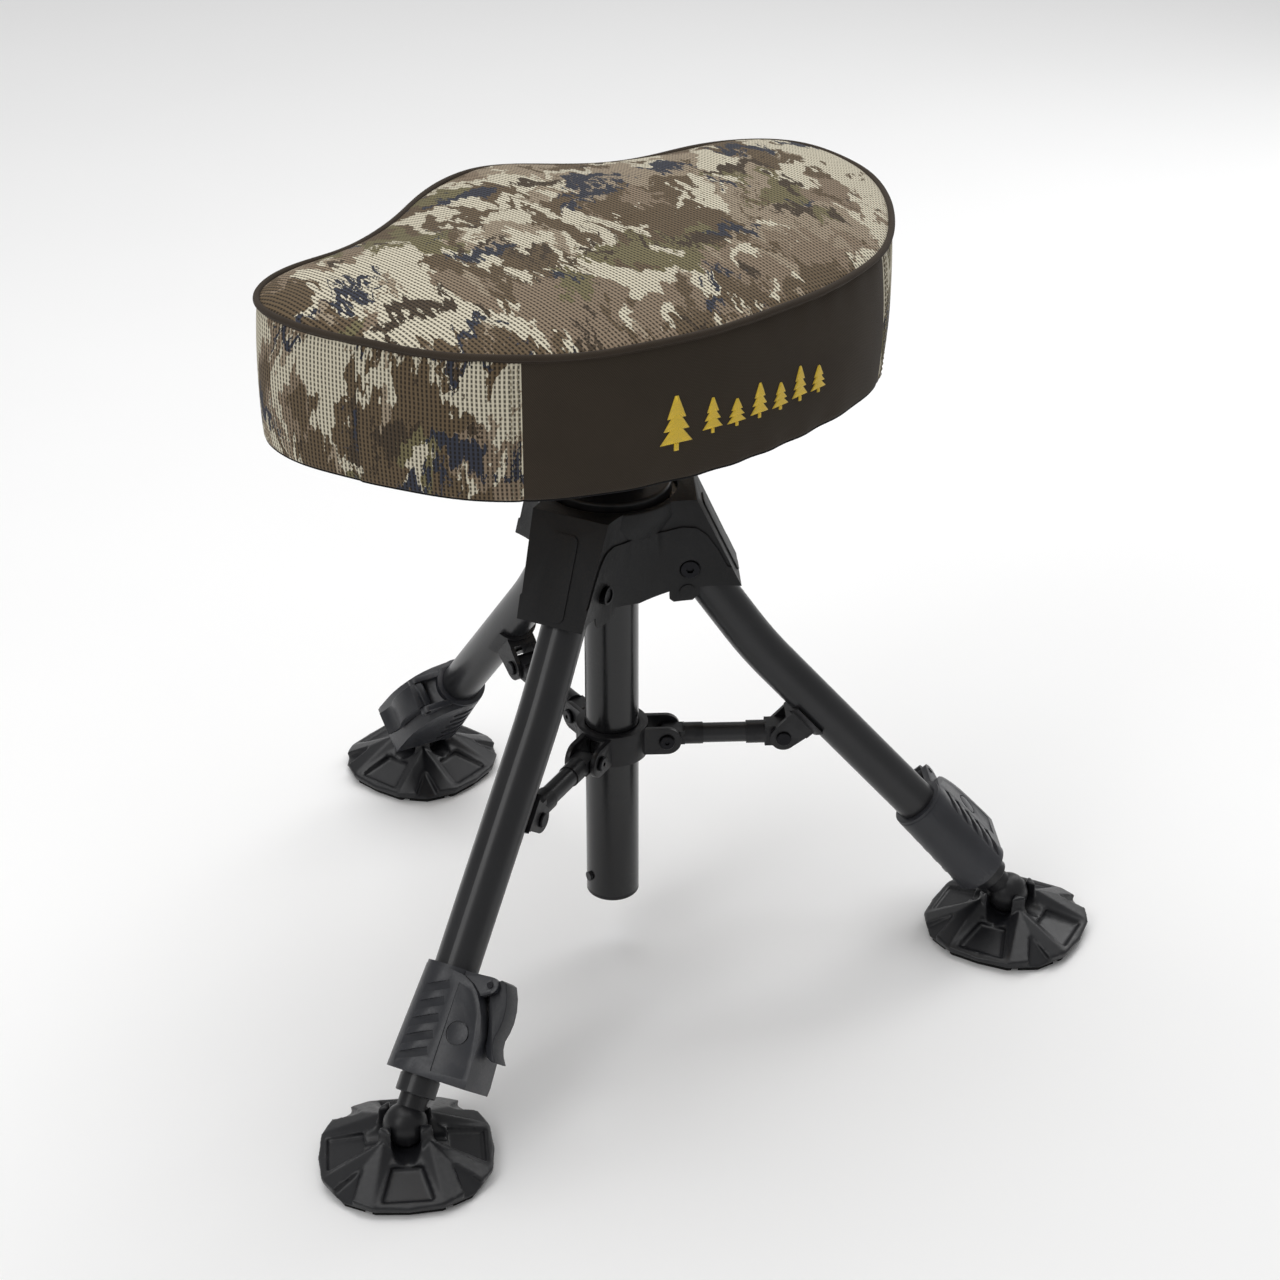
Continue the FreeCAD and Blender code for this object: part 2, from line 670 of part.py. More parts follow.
def hub_housing():
    body = star_body(0.0)
    raised = star_body(1.1)
    proud = star_body(1.8)
    for azimuth in LEG_AZIMUTH.values():
        region = cheek_region()
        region.rotate(Vector(0, 0, 0), Z, azimuth)
        boss = bar(Y, Vector(43.5, -40, 252.5), 4.6, 40)
        boss.rotate(Vector(0, 0, 0), Z, azimuth)
        body = body.fuse(raised.common(region)).fuse(proud.common(boss))
    body = body.cut(Part.makeCylinder(30.5, 20.0, Vector(0, 0, HUB_BOTTOM - 20.0)))
    body = body.fuse(turret())
    for azimuth in LEG_AZIMUTH.values():
        trim = underside_cut()
        trim.rotate(Vector(0, 0, 0), Z, azimuth)
        body = body.cut(trim)
    for azimuth in LEG_AZIMUTH.values():
        pad = end_badge()
        pad.rotate(Vector(0, 0, 0), Z, azimuth)
        body = body.fuse(pad)
    for azimuth in LEG_AZIMUTH.values():
        cavity = arm_cavity()
        bolt = bar(Y, Vector(HINGE_R, -40, HINGE_Z), BOLT_R, 80)
        heads = bar(Y, Vector(HINGE_R, -40, HINGE_Z), 6.2, 40 - 18.3)
        nuts = bar(Y, Vector(HINGE_R, 18.3, HINGE_Z), NUT_R + RUN, 30)
        for tool in (cavity, bolt, heads, nuts):
            tool.rotate(Vector(0, 0, 0), Z, azimuth)
            body = body.cut(tool)
    body = body.cut(Part.makeCylinder(POST_R, POST_TOP - 200.0, Vector(0, 0, 200.0)))
    body = body.cut(Part.makeCylinder(POST_BORE, 40.0, Vector(0, 0, 290.0)))
    body = body.cut(Part.makeCylinder(38.4, 20.0, Vector(0, 0, 306.0)))
    return at_post(body.removeSplitter())


def race_ring():
    race = ring(38.0, 15.0, 306.0, 310.8)
    return at_post(race.cut(ring(33.0, 18.0, 309.6, 312.0)))


def leg_bolts():
    solids = []
    for azimuth in LEG_AZIMUTH.values():
        shaft = bar(Y, Vector(HINGE_R, -18.3, HINGE_Z), BOLT_R, 40.0)
        head = bar(Y, Vector(HINGE_R, -20.3, HINGE_Z), 5.6, 2.0)
        head = round_off(head, 0.7, lambda e: rim_at(e, -20.3))
        key = hexagon(2.4, Vector(HINGE_R, -20.3, HINGE_Z), Y, 1.6)
        solids.append(at_leg(shaft.fuse(head).cut(key), azimuth))
    return group(solids)


def leg_nuts():
    solids = []
    for azimuth in LEG_AZIMUTH.values():
        nut = bar(Y, Vector(HINGE_R, 18.3, HINGE_Z), NUT_R, 4.2)
        hole = bar(Y, Vector(HINGE_R, 10, HINGE_Z), BOLT_R, 20)
        solids.append(at_leg(nut.cut(hole), azimuth))
    return group(solids)


# ------------------------------------------------------------------ the post
def centre_post():
    tube = ring(POST_R, POST_BORE, POST_BOTTOM + 3.0, POST_TOP)
    hole = bar(X, Vector(-30, 0, BUTTON_Z), 2.2, 30)
    return at_post(tube.cut(hole))


def post_cap():
    cap = Part.makeCylinder(POST_R, 3.0, Vector(0, 0, POST_BOTTOM))
    cap = round_off(cap, 1.6, lambda e: flat_circle(e, POST_R, POST_BOTTOM))
    plug = Part.makeCylinder(POST_BORE, 7.0, Vector(0, 0, POST_BOTTOM + 3.0))
    return at_post(cap.fuse(plug).removeSplitter())


def stop_button():
    """Rivet near the foot of the post that stops the sliding collar."""
    shaft = bar(X, Vector(-17.0, 0, BUTTON_Z), 2.2, 3.2)
    head = bar(X, Vector(-17.7, 0, BUTTON_Z), 2.9, 1.7)
    return at_post(shaft.fuse(head))


def stem_bushing():
    sleeve = ring(POST_BORE, STEM_R + RUN, 262.0, POST_TOP + 2.0)
    return at_post(sleeve)


# ------------------------------------------------------------------ the seat
def seat_wire(scale, z):
    points = [Vector(x * scale, y * scale, z) for x, y in SEAT_OUTLINE]
    curve = Part.BSplineCurve()
    curve.interpolate(points, PeriodicFlag=True)
    return Part.Wire(curve.toShape())


def turn_seat(shape):
    moved = shape.copy()
    moved.rotate(Vector(0, 0, 0), Z, SEAT_TURN - 90.0)
    return at_post(moved)


def seat_cushion():
    wires = [seat_wire(scale, z) for z, scale in SEAT_SECTIONS]
    return turn_seat(Part.makeLoft(wires, True, True))


def seat_board():
    wire = seat_wire(0.85, SEAT_BOTTOM - 0.3 - BOARD_T)
    return turn_seat(Part.Face(wire).extrude(Vector(0, 0, BOARD_T)))


def plate_bottom():
    return SEAT_BOTTOM - 0.3 - BOARD_T - PLATE_T


def mount_plate():
    low = plate_bottom()
    plate = box(-70, 70, -70, 70, low, low + PLATE_T)
    plate = round_off(plate, 14.0, lambda e: abs(e.BoundBox.ZLength - PLATE_T) < 1e-4)
    boss = Part.makeCone(17.5, 30.0, 22.0, Vector(0, 0, low - 22.0))
    body = plate.fuse(boss)
    body = body.cut(Part.makeCylinder(STEM_R, 60.0, Vector(0, 0, low - 40.0)))
    for x in (-55, 55):
        for y in (-55, 55):
            body = body.cut(Part.makeCylinder(3.0, 10.0, Vector(x, y, low - 3.0)))
    return turn_seat(body.removeSplitter())


def plate_screws():
    low = plate_bottom()
    solids = []
    for x in (-55, 55):
        for y in (-55, 55):
            shaft = Part.makeCylinder(3.0, PLATE_T, Vector(x, y, low))
            head = Part.makeCylinder(6.0, 3.2, Vector(x, y, low - 3.2))
            head = round_off(head, 1.2, lambda e: flat_circle(e, 6.0, low - 3.2))
            key = hexagon(2.2, Vector(x, y, low - 4.0), Z, 2.6)
            solids.append(turn_seat(shaft.fuse(head).cut(key)))
    return group(solids)


def seat_stem():
    top = plate_bottom() + PLATE_T
    return at_post(ring(STEM_R, STEM_R - STEM_WALL, STEM_BOTTOM, top))


def swivel_disc():
    disc = ring(35.0, STEM_R, 311.1, 318.0)
    disc = round_off(disc, 2.0, lambda e: flat_circle(e, 35.0, 318.0))
    boss = ring(20.0, STEM_R, 318.0, 332.0)
    return at_post(disc.fuse(boss).removeSplitter())


def stem_clip():
    """Spring ring under the bushing that keeps the stem in the post."""
    return at_post(ring(13.7, STEM_R, 258.0, 261.4))


def build():
    os.makedirs("parts", exist_ok=True)
    save("hub_housing", hub_housing())
    save("swivel_race", race_ring())
    save("leg_pivot_bolts", leg_bolts())
    save("leg_pivot_nuts", leg_nuts())
    save("centre_post", centre_post())
    save("post_end_cap", post_cap())
    save("post_stop_button", stop_button())
    save("stem_bushing", stem_bushing())
    save("seat_cushion", seat_cushion())
    save("seat_board", seat_board())
    save("seat_mount_plate", mount_plate())
    save("seat_plate_screws", plate_screws())
    save("seat_stem", seat_stem())
    save("swivel_disc", swivel_disc())
    save("stem_clip", stem_clip())
    save("slide_collar", slide_collar())
    save("collar_screws", collar_screws())
    leg_makers = {
        "leg_tube": leg_tube, "leg_knuckle": leg_knuckle,
        "leg_bracket": leg_bracket, "bracket_pin": bracket_pin,
        "inner_tube": inner_tube, "ball_stud": ball_stud,
        "clamp_body": clamp_body, "lever_pin": lever_pin,
        "clamp_lever": clamp_lever, "strut_rod": strut_rod,
    }
    for name, make in leg_makers.items():
        shape = make()
        for leg, azimuth in LEG_AZIMUTH.items():
            save(name + "_" + leg, at_leg(shape, azimuth))
    ends = group(strut_ends())
    for leg, azimuth in LEG_AZIMUTH.items():
        save("strut_ends_" + leg, at_leg(ends, azimuth))
        save("foot_plate_" + leg, at_leg(foot_plate(leg), azimuth))
        save("foot_sole_" + leg, at_leg(foot_sole(leg), azimuth))


build()
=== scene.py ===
import json
import math

import bmesh
import bpy
import numpy as np
from mathutils import Euler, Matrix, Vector

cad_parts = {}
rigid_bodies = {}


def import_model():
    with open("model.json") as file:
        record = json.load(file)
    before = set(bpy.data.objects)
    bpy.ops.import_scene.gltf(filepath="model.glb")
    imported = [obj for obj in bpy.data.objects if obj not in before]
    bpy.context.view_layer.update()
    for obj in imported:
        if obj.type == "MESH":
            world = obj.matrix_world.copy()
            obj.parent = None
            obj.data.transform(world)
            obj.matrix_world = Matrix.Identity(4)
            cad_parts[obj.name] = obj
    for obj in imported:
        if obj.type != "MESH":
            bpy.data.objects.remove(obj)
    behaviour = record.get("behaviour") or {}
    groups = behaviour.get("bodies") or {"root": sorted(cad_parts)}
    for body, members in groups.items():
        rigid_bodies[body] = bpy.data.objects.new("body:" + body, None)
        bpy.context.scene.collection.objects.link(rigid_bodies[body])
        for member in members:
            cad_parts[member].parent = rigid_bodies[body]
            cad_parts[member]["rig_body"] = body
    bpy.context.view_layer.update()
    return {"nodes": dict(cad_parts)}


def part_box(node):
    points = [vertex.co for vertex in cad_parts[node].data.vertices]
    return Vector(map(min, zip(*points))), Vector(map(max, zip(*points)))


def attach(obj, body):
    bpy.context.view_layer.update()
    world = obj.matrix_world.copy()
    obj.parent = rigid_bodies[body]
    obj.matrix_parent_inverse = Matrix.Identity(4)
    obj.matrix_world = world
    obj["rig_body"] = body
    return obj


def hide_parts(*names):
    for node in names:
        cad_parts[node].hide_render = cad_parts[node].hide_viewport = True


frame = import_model()

MM = 0.001
LEGS = ("a", "b", "c")
POST_Y = (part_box("centre_post")[0].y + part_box("centre_post")[1].y) / 2
SEAT_TURN = math.radians(9.0)          # the seat's front bulge heads 9 degrees past +Y
EDGE_Z = 458.0 * MM                    # height of the piping
BOTTOM_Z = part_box("seat_cushion")[0].z
RIM_CAD_Z = 456.0 * MM                 # a level of the CAD cushion at full outline
UNDER_Z = BOTTOM_Z + 0.05 * MM         # the dust cover, just clear of the CAD underside
CROWN_RISE = 15.0 * MM                 # the middle of the top panel over the piping
LEAN = 6 * MM                          # how far the right end leans in at the bottom
LEAN_START, LEAN_SPAN = 0.11, 0.07     # where that lean begins and how far it takes, m
PIPING_R = 1.9 * MM
LIP_R = 0.9 * MM
HEM_R = 0.8 * MM
STITCH_OFFSETS = (1.8 * MM, 5.2 * MM)  # the two rows beside each sewn join
SWELL_CAP = 1.2 * MM                   # the most the cloth swells
SWELL_FRAMES = 20
RIB_PITCH, ROW_PITCH = 0.00235, 0.0025  # the knit mesh's cell, m
EASE_ANGLE = 34.0                      # edges sharper than this are rounded, degrees
FOOT_VOXEL, FOOT_ROUNDS = 0.9 * MM, 9
CAMERA_AT = (-0.7857, -1.3189, 1.0278)
CAMERA_DOWN, CAMERA_TURN = 28.83, -32.65
CAMERA_LENS = 80.8


# ------------------------------------------------------------ mesh helpers
def new_mesh(name, verts, faces, materials=(), face_material=None, uvs=None):
    mesh = bpy.data.meshes.new(name)
    mesh.from_pydata([tuple(v) for v in verts], [], [tuple(f) for f in faces])
    for m in materials:
        mesh.materials.append(m)
    if face_material is not None:
        mesh.polygons.foreach_set("material_index", np.asarray(face_material, np.int32))
    if uvs is not None:
        layer = mesh.uv_layers.new(name="UVMap")
        layer.data.foreach_set("uv", np.asarray(uvs, np.float32).reshape(-1))
    mesh.polygons.foreach_set("use_smooth", np.full(len(mesh.polygons), True))
    mesh.update()
    obj = bpy.data.objects.new(name, mesh)
    bpy.context.scene.collection.objects.link(obj)
    return obj


def apply_all(obj):
    """Turn an object's modifiers into plain mesh."""
    bpy.context.view_layer.update()
    graph = bpy.context.evaluated_depsgraph_get()
    baked = bpy.data.meshes.new_from_object(obj.evaluated_get(graph))
    obj.modifiers.clear()
    obj.data = baked


# -------------------------------------------------------- shader helpers
class Nodes:
    """Short names for building a node material."""

    def __init__(self, name):
        self.mat = bpy.data.materials.new(name)
        self.mat.use_nodes = True
        self.tree = self.mat.node_tree
        self.bsdf = self.tree.nodes["Principled BSDF"]

    def add(self, kind, **props):
        node = self.tree.nodes.new(kind)
        for k, v in props.items():
            setattr(node, k, v)
        return node

    def put(self, value, socket):
        if isinstance(value, bpy.types.NodeSocket):
            self.tree.links.new(value, socket)
        else:
            socket.default_value = value

    def uv(self):
        return self.add("ShaderNodeUVMap", uv_map="UVMap").outputs["UV"]

    def obj(self):
        return self.add("ShaderNodeTexCoord").outputs["Object"]

    def math(self, op, a, b=0.0):
        n = self.add("ShaderNodeMath", operation=op)
        self.put(a, n.inputs[0])
        self.put(b, n.inputs[1])
        return n.outputs[0]

    def vec(self, op, a, b=(0, 0, 0), scale=1.0):
        n = self.add("ShaderNodeVectorMath", operation=op)
        self.put(a, n.inputs[0])
        if op == "SCALE":
            n.inputs["Scale"].default_value = scale
        else:
            self.put(b, n.inputs[1])
        return n.outputs[0]

    def mapping(self, vector, scale=(1, 1, 1), rot=0.0, loc=(0, 0, 0)):
        n = self.add("ShaderNodeMapping")
        self.put(vector, n.inputs["Vector"])
        n.inputs["Location"].default_value = loc
        n.inputs["Rotation"].default_value = (0, 0, rot)
        n.inputs["Scale"].default_value = scale
        return n.outputs[0]

    def noise(self, vector, scale, detail=2.0, rough=0.5, out="Fac"):
        n = self.add("ShaderNodeTexNoise")
        self.put(vector, n.inputs["Vector"])
        n.inputs["Scale"].default_value = scale
        n.inputs["Detail"].default_value = detail
        n.inputs["Roughness"].default_value = rough
        return n.outputs[out]

    def voronoi(self, vector, scale):
        n = self.add("ShaderNodeTexVoronoi", feature="F1")
        self.put(vector, n.inputs["Vector"])
        n.inputs["Scale"].default_value = scale
        n.inputs["Randomness"].default_value = 1.0
        return n

    def ramp(self, fac, stops, mode="LINEAR"):
        n = self.add("ShaderNodeValToRGB")
        n.color_ramp.interpolation = mode
        while len(n.color_ramp.elements) < len(stops):
            n.color_ramp.elements.new(0.5)
        for e, (p, c) in zip(n.color_ramp.elements, stops):
            e.position = p
            e.color = (*c, 1.0) if len(c) == 3 else c
        self.put(fac, n.inputs[0])
        return n.outputs[0]

    def range(self, value, a, b, c=0.0, d=1.0, smooth=False):
        n = self.add("ShaderNodeMapRange")
        n.interpolation_type = "SMOOTHSTEP" if smooth else "LINEAR"
        self.put(value, n.inputs[0])
        for i, v in enumerate((a, b, c, d)):
            n.inputs[i + 1].default_value = v
        return n.outputs[0]

    def mix(self, fac, a, b, blend="MIX"):
        n = self.add("ShaderNodeMix", data_type="RGBA", blend_type=blend)
        self.put(fac, n.inputs["Factor"])
        self.put(a if isinstance(a, bpy.types.NodeSocket) else (*a, 1.0), n.inputs["A"])
        self.put(b if isinstance(b, bpy.types.NodeSocket) else (*b, 1.0), n.inputs["B"])
        return n.outputs["Result"]

    def bump(self, height, strength, distance):
        n = self.add("ShaderNodeBump")
        self.put(height, n.inputs["Height"])
        n.inputs["Strength"].default_value = strength
        n.inputs["Distance"].default_value = distance
        return n.outputs[0]

    def set(self, **sockets):
        for k, v in sockets.items():
            name = k.replace("_", " ")
            if isinstance(v, tuple) and len(v) == 3:
                v = (*v, 1.0)
            self.put(v, self.bsdf.inputs[name])
        return self


def srgb(r, g, b):
    def lin(v):
        v = v / 255.0
        return v / 12.92 if v <= 0.04045 else ((v + 0.055) / 1.055) ** 2.4
    return (lin(r), lin(g), lin(b))


CREAM = srgb(212, 204, 182)
SAND = srgb(160, 145, 124)
TAUPE = srgb(139, 122, 102)
BROWN = srgb(104, 88, 67)
OLIVE = srgb(119, 111, 80)
SLATE = srgb(56, 59, 70)
BARK = srgb(76, 64, 50)


def leaf_print(n, uv, turn, shift, inked):
    """A generic broken-bark print: torn patches, leaf strokes and fine streaks.

    The cloth is warped along the print's own V, quickly across it, so every patch edge
    that crosses V is torn into fingers.
    """
    p = n.mapping(uv, rot=turn, loc=shift)
    wide = n.vec("SUBTRACT", n.noise(p, 15.0, 2.0, 0.5, "Color"), (0.5, 0.5, 0.5))
    fine = n.vec("SUBTRACT", n.noise(p, 120.0, 3.0, 0.65, "Color"), (0.5, 0.5, 0.5))

    def fingers(across, along, reach, loc=(0, 0, 0)):
        comb = n.noise(n.mapping(p, (across, along, 1.0), loc=loc), 1.0, 2.0, 0.55)
        push = n.add("ShaderNodeCombineXYZ")
        n.put(n.math("MULTIPLY", n.math("SUBTRACT", comb, 0.5), reach), push.inputs[1])
        return push.outputs[0]

    warped = n.vec("ADD", p, n.vec("SCALE", wide, scale=0.055))
    warped = n.vec("ADD", warped, n.vec("SCALE", fine, scale=0.012))
    warped = n.vec("ADD", warped, fingers(95.0, 22.0, 0.060))
    warped = n.vec("ADD", warped, fingers(330.0, 60.0, 0.026, (4, 2, 0)))

    def cells(scale, rot=0.0, loc=(0, 0, 0)):
        v = n.voronoi(n.mapping(warped, scale, rot, loc), 1.0)
        split = n.add("ShaderNodeSeparateColor")
        n.put(v.outputs["Color"], split.inputs[0])
        return split.outputs, v.outputs["Distance"]

    def layer(base, mask, tone):
        return n.mix(mask, base, tone)

    def both(a, b):
        return n.math("MULTIPLY", a, b)

    # large torn patches
    pick, _ = cells((19.0, 23.0, 1.0))
    base = n.ramp(pick[0], [
        (0.0, CREAM), (0.30, BROWN), (0.58, TAUPE), (0.76, SAND), (0.90, OLIVE),
    ], "CONSTANT")
    # combed strokes of a second tone inside some patches
    streak = n.noise(n.mapping(warped, (300.0, 24.0, 1.0), 0.12), 1.0, 3.0, 0.65)
    area = n.noise(n.mapping(p, (22.0, 18.0, 1.0), loc=(3, 1, 0)), 1.0, 2.0)
    tone = n.ramp(pick[1], [(0.0, BROWN), (0.38, CREAM), (0.66, TAUPE), (0.86, BARK)], "CONSTANT")
    combed = both(n.math("GREATER_THAN", streak, 0.56), n.math("GREATER_THAN", area, 0.53))
    base = layer(base, combed, tone)
    # middle-sized shards
    pick, _ = cells((52.0, 40.0, 1.0), 0.3, (5.3, 2.1, 0))
    shard = n.ramp(pick[1], [(0.0, CREAM), (0.40, BROWN), (0.64, TAUPE), (0.86, OLIVE)], "CONSTANT")
    base = layer(base, n.math("GREATER_THAN", pick[0], 0.68), shard)
    # small flecks and twigs
    pick, _ = cells((150.0, 70.0, 1.0), -0.35, (2.9, 7.7, 0))
    fleck = n.ramp(pick[1], [(0.0, CREAM), (0.45, BARK), (0.66, SAND), (0.84, BROWN)], "CONSTANT")
    base = layer(base, n.math("GREATER_THAN", pick[0], 0.86), fleck)
    # dark slate leaf strokes, lying across the fingers
    pick, far = cells((24.0, 52.0, 1.0), 0.30, (1.7, 8.4, 0))
    nick = n.noise(n.mapping(warped, (260.0, 90.0, 1.0)), 1.0, 2.0, 0.6)
    inside = n.math("LESS_THAN", n.math("ADD", far, n.range(nick, 0.3, 0.7, -0.2, 0.2)), 0.44)
    ink = n.ramp(pick[1], [(0.0, SLATE), (0.84, BARK)], "CONSTANT")
    base = layer(base, both(inside, n.math("GREATER_THAN", pick[0], 1.0 - inked)), ink)
    return base


def mesh_fabric(name, turn, shift, inked):
    """Open warp-knit mesh: ribs along V, with a dark slot in every cell."""
    n = Nodes(name)
    uv = n.uv()
    colour = leaf_print(n, uv, turn, shift, inked)
    wobble = n.vec("SUBTRACT", n.noise(uv, 60.0, 1.0, 0.5, "Color"), (0.5, 0.5, 0.5))
    p = n.vec("ADD", uv, n.vec("SCALE", wobble, scale=0.0009))
    sep = n.add("ShaderNodeSeparateXYZ")
    n.put(n.mapping(p, (1 / RIB_PITCH, 1 / ROW_PITCH, 1.0)), sep.inputs[0])
    fu = n.math("ABSOLUTE", n.math("SUBTRACT", n.math("FRACT", sep.outputs[0]), 0.5))
    fv = n.math("ABSOLUTE", n.math("SUBTRACT", n.math("FRACT", sep.outputs[1]), 0.5))
    slot_u = n.range(fu, 0.17, 0.30, 1.0, 0.0, True)
    slot_v = n.range(fv, 0.25, 0.40, 1.0, 0.0, True)
    hole = n.math("MULTIPLY", slot_u, slot_v)
    groove = n.math("MULTIPLY", slot_u, 0.35)
    dark = n.math("MAXIMUM", n.math("MULTIPLY", hole, 0.88), n.math("MULTIPLY", groove, 0.9))
    thread = n.noise(n.mapping(uv, (2600.0, 700.0, 1.0)), 1.0, 2.0)
    shade = n.range(thread, 0.3, 0.7, 0.86, 1.10)
    colour = n.mix(1.0, colour, n.ramp(shade, [(0.0, (0.0, 0.0, 0.0)), (1.0, (1.0, 1.0, 1.0))]),
                   "MULTIPLY")
    colour = n.mix(dark, colour, (0.018, 0.015, 0.012))
    height = n.math("SUBTRACT", n.math("MULTIPLY", thread, 0.15), n.math("MAXIMUM", hole, groove))
    n.set(Base_Color=colour, Roughness=n.range(hole, 0.0, 1.0, 0.72, 0.95),
          Normal=n.bump(height, 0.55, 0.0007))
    n.set(Specular_IOR_Level=0.15, Sheen_Weight=0.04, Sheen_Roughness=0.5)
    return n.mat


def twill(name, colour, pitch=0.0011, strength=0.45, sheen=0.06):
    """Diagonal twill with soft, uneven colour."""
    n = Nodes(name)
    uv = n.uv()
    sep = n.add("ShaderNodeSeparateXYZ")
    n.put(uv, sep.inputs[0])
    diag = n.math("ADD", sep.outputs[0], n.math("MULTIPLY", sep.outputs[1], 0.7))
    rib = n.math("SINE", n.math("MULTIPLY", diag, 2 * math.pi / pitch))
    yarn = n.noise(n.mapping(uv, (1500.0, 1500.0, 1.0)), 1.0, 2.0)
    broad = n.noise(uv, 26.0, 3.0, 0.55)
    value = n.math("ADD", n.range(rib, -1, 1, 0.80, 1.12), n.range(yarn, 0.3, 0.7, -0.10, 0.10))
    value = n.math("ADD", value, n.range(broad, 0.3, 0.7, -0.07, 0.07))
    tint = n.add("ShaderNodeCombineColor")
    for i in range(3):
        n.put(n.math("MULTIPLY", value, colour[i]), tint.inputs[i])
    height = n.math("ADD", n.math("MULTIPLY", rib, 0.5), n.math("MULTIPLY", yarn, 0.6))
    n.set(Base_Color=tint.outputs[0], Roughness=n.range(yarn, 0.3, 0.7, 0.78, 0.92),
          Normal=n.bump(height, strength, 0.0003))
    n.set(Specular_IOR_Level=0.12, Sheen_Weight=sheen, Sheen_Roughness=0.45)
    return n.mat


def moulded(name, colour, rough, grain=0.0009, depth=0.25, spec=0.25, wear=0.0):
    """Moulded plastic: spark-eroded grain, faint flow marks, edges rubbed paler."""
    n = Nodes(name)
    p = n.obj()
    fine = n.noise(p, 1.0 / grain, 3.0, 0.6)
    broad = n.noise(p, 22.0, 3.0, 0.55)
    tint = n.mix(n.range(broad, 0.3, 0.7, 0.0, 1.0), colour, tuple(c * 1.35 + 0.002 for c in colour))
    if wear > 0:
        geo = n.add("ShaderNodeNewGeometry")
        edge = n.range(geo.outputs["Pointiness"], 0.52, 0.60, 0.0, wear)
        patch = n.range(n.noise(p, 90.0, 3.0), 0.45, 0.62, 0.0, 1.0)
        tint = n.mix(n.math("MULTIPLY", edge, patch), tint, (0.045, 0.045, 0.048))
    rough_map = n.math("ADD", n.range(fine, 0.3, 0.7, rough - 0.05, rough + 0.06),
                       n.range(broad, 0.3, 0.7, -0.04, 0.04))
    n.set(Base_Color=tint, Roughness=rough_map, Normal=n.bump(fine, depth, 0.00025))
    n.set(Specular_IOR_Level=spec)
    return n.mat


def coated(name, colour, rough, coat, spec=0.3):
    """Powder-coated or painted tube: slight orange peel under the gloss."""
    n = Nodes(name)
    p = n.obj()
    peel = n.noise(p, 420.0, 2.0, 0.5)
    broad = n.noise(p, 30.0, 3.0, 0.55)
    dust = n.noise(p, 2600.0, 2.0, 0.6)
    tint = n.mix(n.range(broad, 0.35, 0.65), colour, tuple(c * 1.25 for c in colour))
    tint = n.mix(n.range(dust, 0.66, 0.72, 0.0, 0.35), tint, tuple(c * 2.2 + 0.01 for c in colour))
    rough_map = n.math("ADD", n.range(broad, 0.3, 0.7, rough - 0.03, rough + 0.04),
                       n.range(dust, 0.3, 0.7, -0.02, 0.03))
    n.set(Base_Color=tint, Roughness=rough_map, Normal=n.bump(peel, 0.12, 0.0003))
    n.set(Specular_IOR_Level=spec, Coat_Weight=coat, Coat_Roughness=0.18)
    return n.mat


def steel(name, colour, rough):
    """Turned or drawn steel with fine circumferential lines."""
    n = Nodes(name)
    p = n.obj()
    lines = n.noise(n.mapping(p, (60.0, 60.0, 5200.0)), 1.0, 2.0)
    tint = n.mix(n.range(lines, 0.3, 0.7), colour, tuple(c * 0.75 for c in colour))
    n.set(Base_Color=tint, Roughness=n.range(lines, 0.3, 0.7, rough - 0.06, rough + 0.1),
          Normal=n.bump(lines, 0.2, 0.0001))
    n.set(Metallic=1.0)
    return n.mat


def plywood(name):
    n = Nodes(name)
    p = n.obj()
    grain = n.noise(n.mapping(p, (9.0, 160.0, 160.0)), 1.0, 4.0, 0.6)
    tint = n.ramp(grain, [
        (0.3, srgb(150, 118, 82)), (0.55, srgb(190, 158, 116)), (0.7, srgb(205, 176, 134)),
    ])
    n.set(Base_Color=tint, Roughness=n.range(grain, 0.3, 0.7, 0.55, 0.75),
          Normal=n.bump(grain, 0.3, 0.0004))
    return n.mat


def thread(name, colour, pitch=0.0005):
    """Embroidery or sewing thread: satin lines across the shape."""
    n = Nodes(name)
    uv = n.uv()
    sep = n.add("ShaderNodeSeparateXYZ")
    n.put(uv, sep.inputs[0])
    skew = n.math("ADD", sep.outputs[1], n.math("MULTIPLY", sep.outputs[0], 0.35))
    line = n.math("SINE", n.math("MULTIPLY", skew, 2 * math.pi / pitch))
    fuzz = n.noise(uv, 900.0, 2.0)
    value = n.math("ADD", n.range(line, -1, 1, 0.68, 1.08), n.range(fuzz, 0.3, 0.7, -0.12, 0.1))
    tint = n.add("ShaderNodeCombineColor")
    for i in range(3):
        n.put(n.math("MULTIPLY", value, colour[i]), tint.inputs[i])
    n.set(Base_Color=tint.outputs[0], Roughness=n.range(fuzz, 0.3, 0.7, 0.42, 0.6),
          Normal=n.bump(line, 0.5, 0.0002))
    n.set(Sheen_Weight=0.2, Sheen_Roughness=0.4)
    return n.mat


